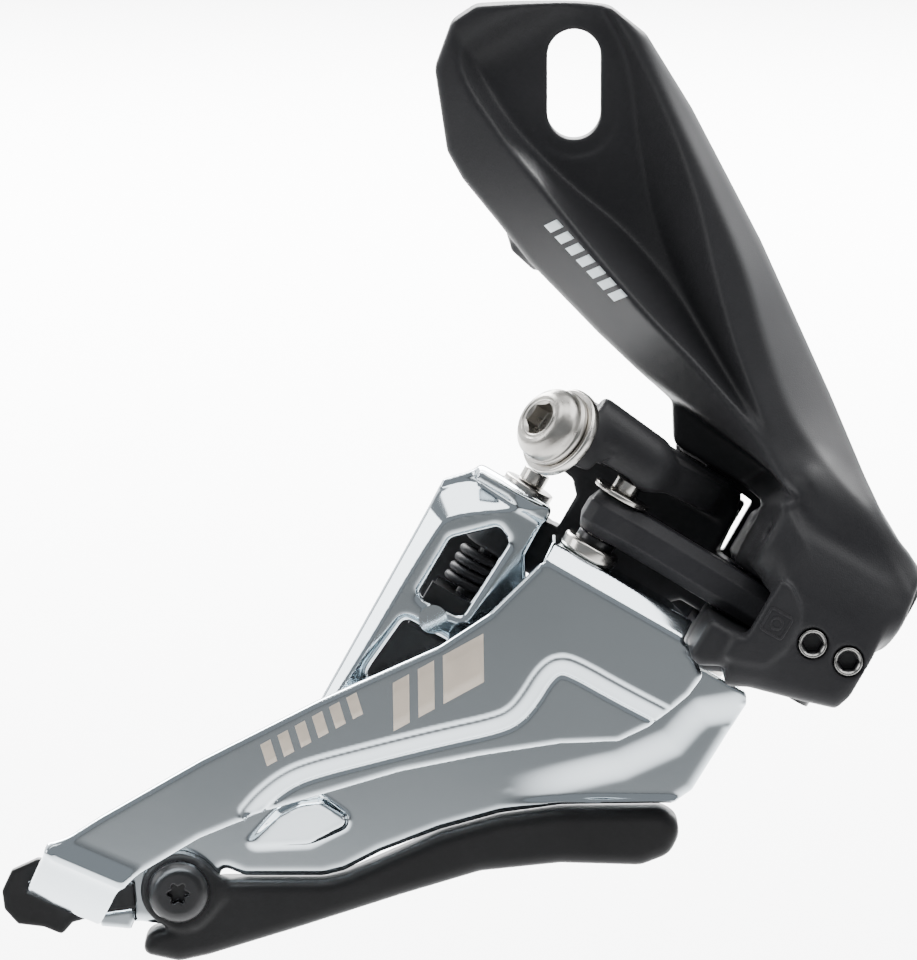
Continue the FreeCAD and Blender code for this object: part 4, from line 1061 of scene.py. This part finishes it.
def plate_face(*_):
    """The outer plate's outboard face is flat."""
    return OUTER_FACE


def arm_face(x, z):
    """The arm's outboard face at one point."""
    return float(arm_front(np.array([[x]]), np.array([[z]]))[2][0, 0])


def cage_marks():
    """Six bars in a row, then two bars and a block in a higher one."""
    run = Vector((0.875, 0.484)).normalized()
    rows = [(f"cage_mark_{k}", (-40, -86.6), 2.55 * k, 1.5, 2.9, 0.6) for k in range(6)]
    rows += [(f"cage_block_{k}", (-23.6, -82), shift, width, 5.6, 3.0)
             for k, (shift, width) in enumerate(((0, 2.4), (3.7, 2.4), (7.4, 6)))]
    for name, start, shift, width, rise, lean in rows:
        bar = slanted(Vector(start) + run * shift, run, width, rise, lean)
        mark(name, bar, plate_face, BEIGE, "cage", "cage_chrome")


ARM_MARK = ((-4, -17.9), (5.6, -27.9))     # ends of the row of bars on the arm, (x, z)


def arm_marks():
    start, stop = [Vector(p) for p in ARM_MARK]
    run = (stop - start).normalized()
    for k in range(7):
        at = start + (stop - start) * (k / 7)
        bar = slanted(at, run, 1.25, 1.9, 0.4)
        mark(f"arm_mark_{k}", bar, arm_face, PALE, "bracket", "cast_black")


cage_marks()
arm_marks()


# ---- floor, light and camera ----
CENTRE = Vector((-0.01518, -0.0200, -0.05017))
CAMERA_RANGE, CAMERA_RISE = 0.90133, math.radians(8.0)
# Painted shade on the floor paper: greyer in front of the object and towards the sides, so the
# metal reflects darker surroundings there: metres and shade.
FLOOR_PAINTED_SHADE = (-1.1, 0.35, 0.115, 0.93)
SIDE_PAINTED_SHADE = (0.5, 1.4, 1.0, 0.2)


def floor():
    half, low = 5.0, -0.30
    plane = from_faces("floor", [Vector((-half, -half, low)), Vector((half, -half, low)),
                                 Vector((half, 2 * half, low)), Vector((-half, 2 * half, low))],
                       [(0, 1, 2, 3)])
    paper = Finish("floor_paper_painted_shade", (0.93, 0.93, 0.93), 0.9, 0)
    parts = paper.nodes.new("ShaderNodeSeparateXYZ")
    paper.links.new(paper.coord, parts.inputs["Vector"])
    away = paper.nodes.new("ShaderNodeMath")
    away.operation = "ABSOLUTE"
    paper.links.new(parts.outputs["X"], away.inputs[0])
    shade = paper.nodes.new("ShaderNodeMath")
    shade.operation = "MULTIPLY"
    # Both fades multiply into the floor's colour: painted shade.
    sources = ((parts.outputs["Y"], FLOOR_PAINTED_SHADE), (away.outputs["Value"], SIDE_PAINTED_SHADE))
    for k, (source, limits) in enumerate(sources):
        fade = map_range(paper.mat.node_tree, source, limits)
        paper.links.new(fade, shade.inputs[k])
    paper.links.new(shade.outputs["Value"], paper.shader.inputs["Base Color"])
    plane.data.materials.append(paper.mat)


def aimed(name, data, at, aim):
    """A lamp or camera that looks from one point at another."""
    thing = add(name, data)
    thing.location = at
    thing.rotation_mode = "QUATERNION"
    thing.rotation_quaternion = (Vector(aim) - Vector(at)).to_track_quat("-Z", "Y")
    return thing


def softbox(name, at, size, power, aim=CENTRE):
    lamp = bpy.data.lights.new(name, "AREA")
    lamp.shape = "RECTANGLE"
    lamp.size, lamp.size_y = size
    lamp.energy = power
    aimed(name, lamp, at, aim)


def camera():
    data = bpy.data.cameras.new("camera")
    data.lens, data.sensor_width = 260.0, 36.0
    data.clip_start, data.clip_end = 0.01, 50.0
    back = Vector((0, -math.cos(CAMERA_RISE), math.sin(CAMERA_RISE)))
    bpy.context.scene.camera = aimed("camera", data, CENTRE + back * CAMERA_RANGE, CENTRE)


SKY_STRENGTH = 3.0
SKY_STOPS = ((0, 0.13), (0.48, 0.13), (0.68, 0.8), (1, 0.9))   # share towards +Y, light


def sky():
    """Pale all round, greyer on the side that faces the object's outboard face."""
    world = bpy.data.worlds.new("sky")
    bpy.context.scene.world = world
    world.use_nodes = True
    nodes, links = world.node_tree.nodes, world.node_tree.links
    parts = nodes.new("ShaderNodeSeparateXYZ")
    links.new(nodes.new("ShaderNodeTexCoord").outputs["Generated"], parts.inputs["Vector"])
    shade = nodes.new("ShaderNodeValToRGB")
    while len(shade.color_ramp.elements) < len(SKY_STOPS):
        shade.color_ramp.elements.new(0.5)
    for stop, (at, light) in zip(shade.color_ramp.elements, SKY_STOPS):
        stop.position = at
        cool = np.interp(light, (0.2, 0.8), (0.90, 0.97))
        stop.color = (light * cool, light * (cool + 1) / 2, light, 1)
    share = map_range(world.node_tree, parts.outputs["Y"], (-1, 1, 0, 1))
    links.new(share, shade.inputs["Fac"])
    links.new(shade.outputs["Color"], nodes["Background"].inputs["Color"])
    nodes["Background"].inputs["Strength"].default_value = SKY_STRENGTH


floor()
sky()
softbox("backdrop", (0.0, 2.8, 1.8), (4, 3), 1100, (0.0, 2.4, -0.3))
softbox("top", (0.46, -0.14, 0.66), (0.8, 0.7), 10)
softbox("right", (0.95, -0.35, 0.30), (0.35, 0.9), 2)
softbox("left", (-0.83, -0.24, 0.28), (0.35, 0.55), 4)
softbox("top_left", (-0.18, -0.30, 0.80), (0.5, 0.5), 4)
camera()
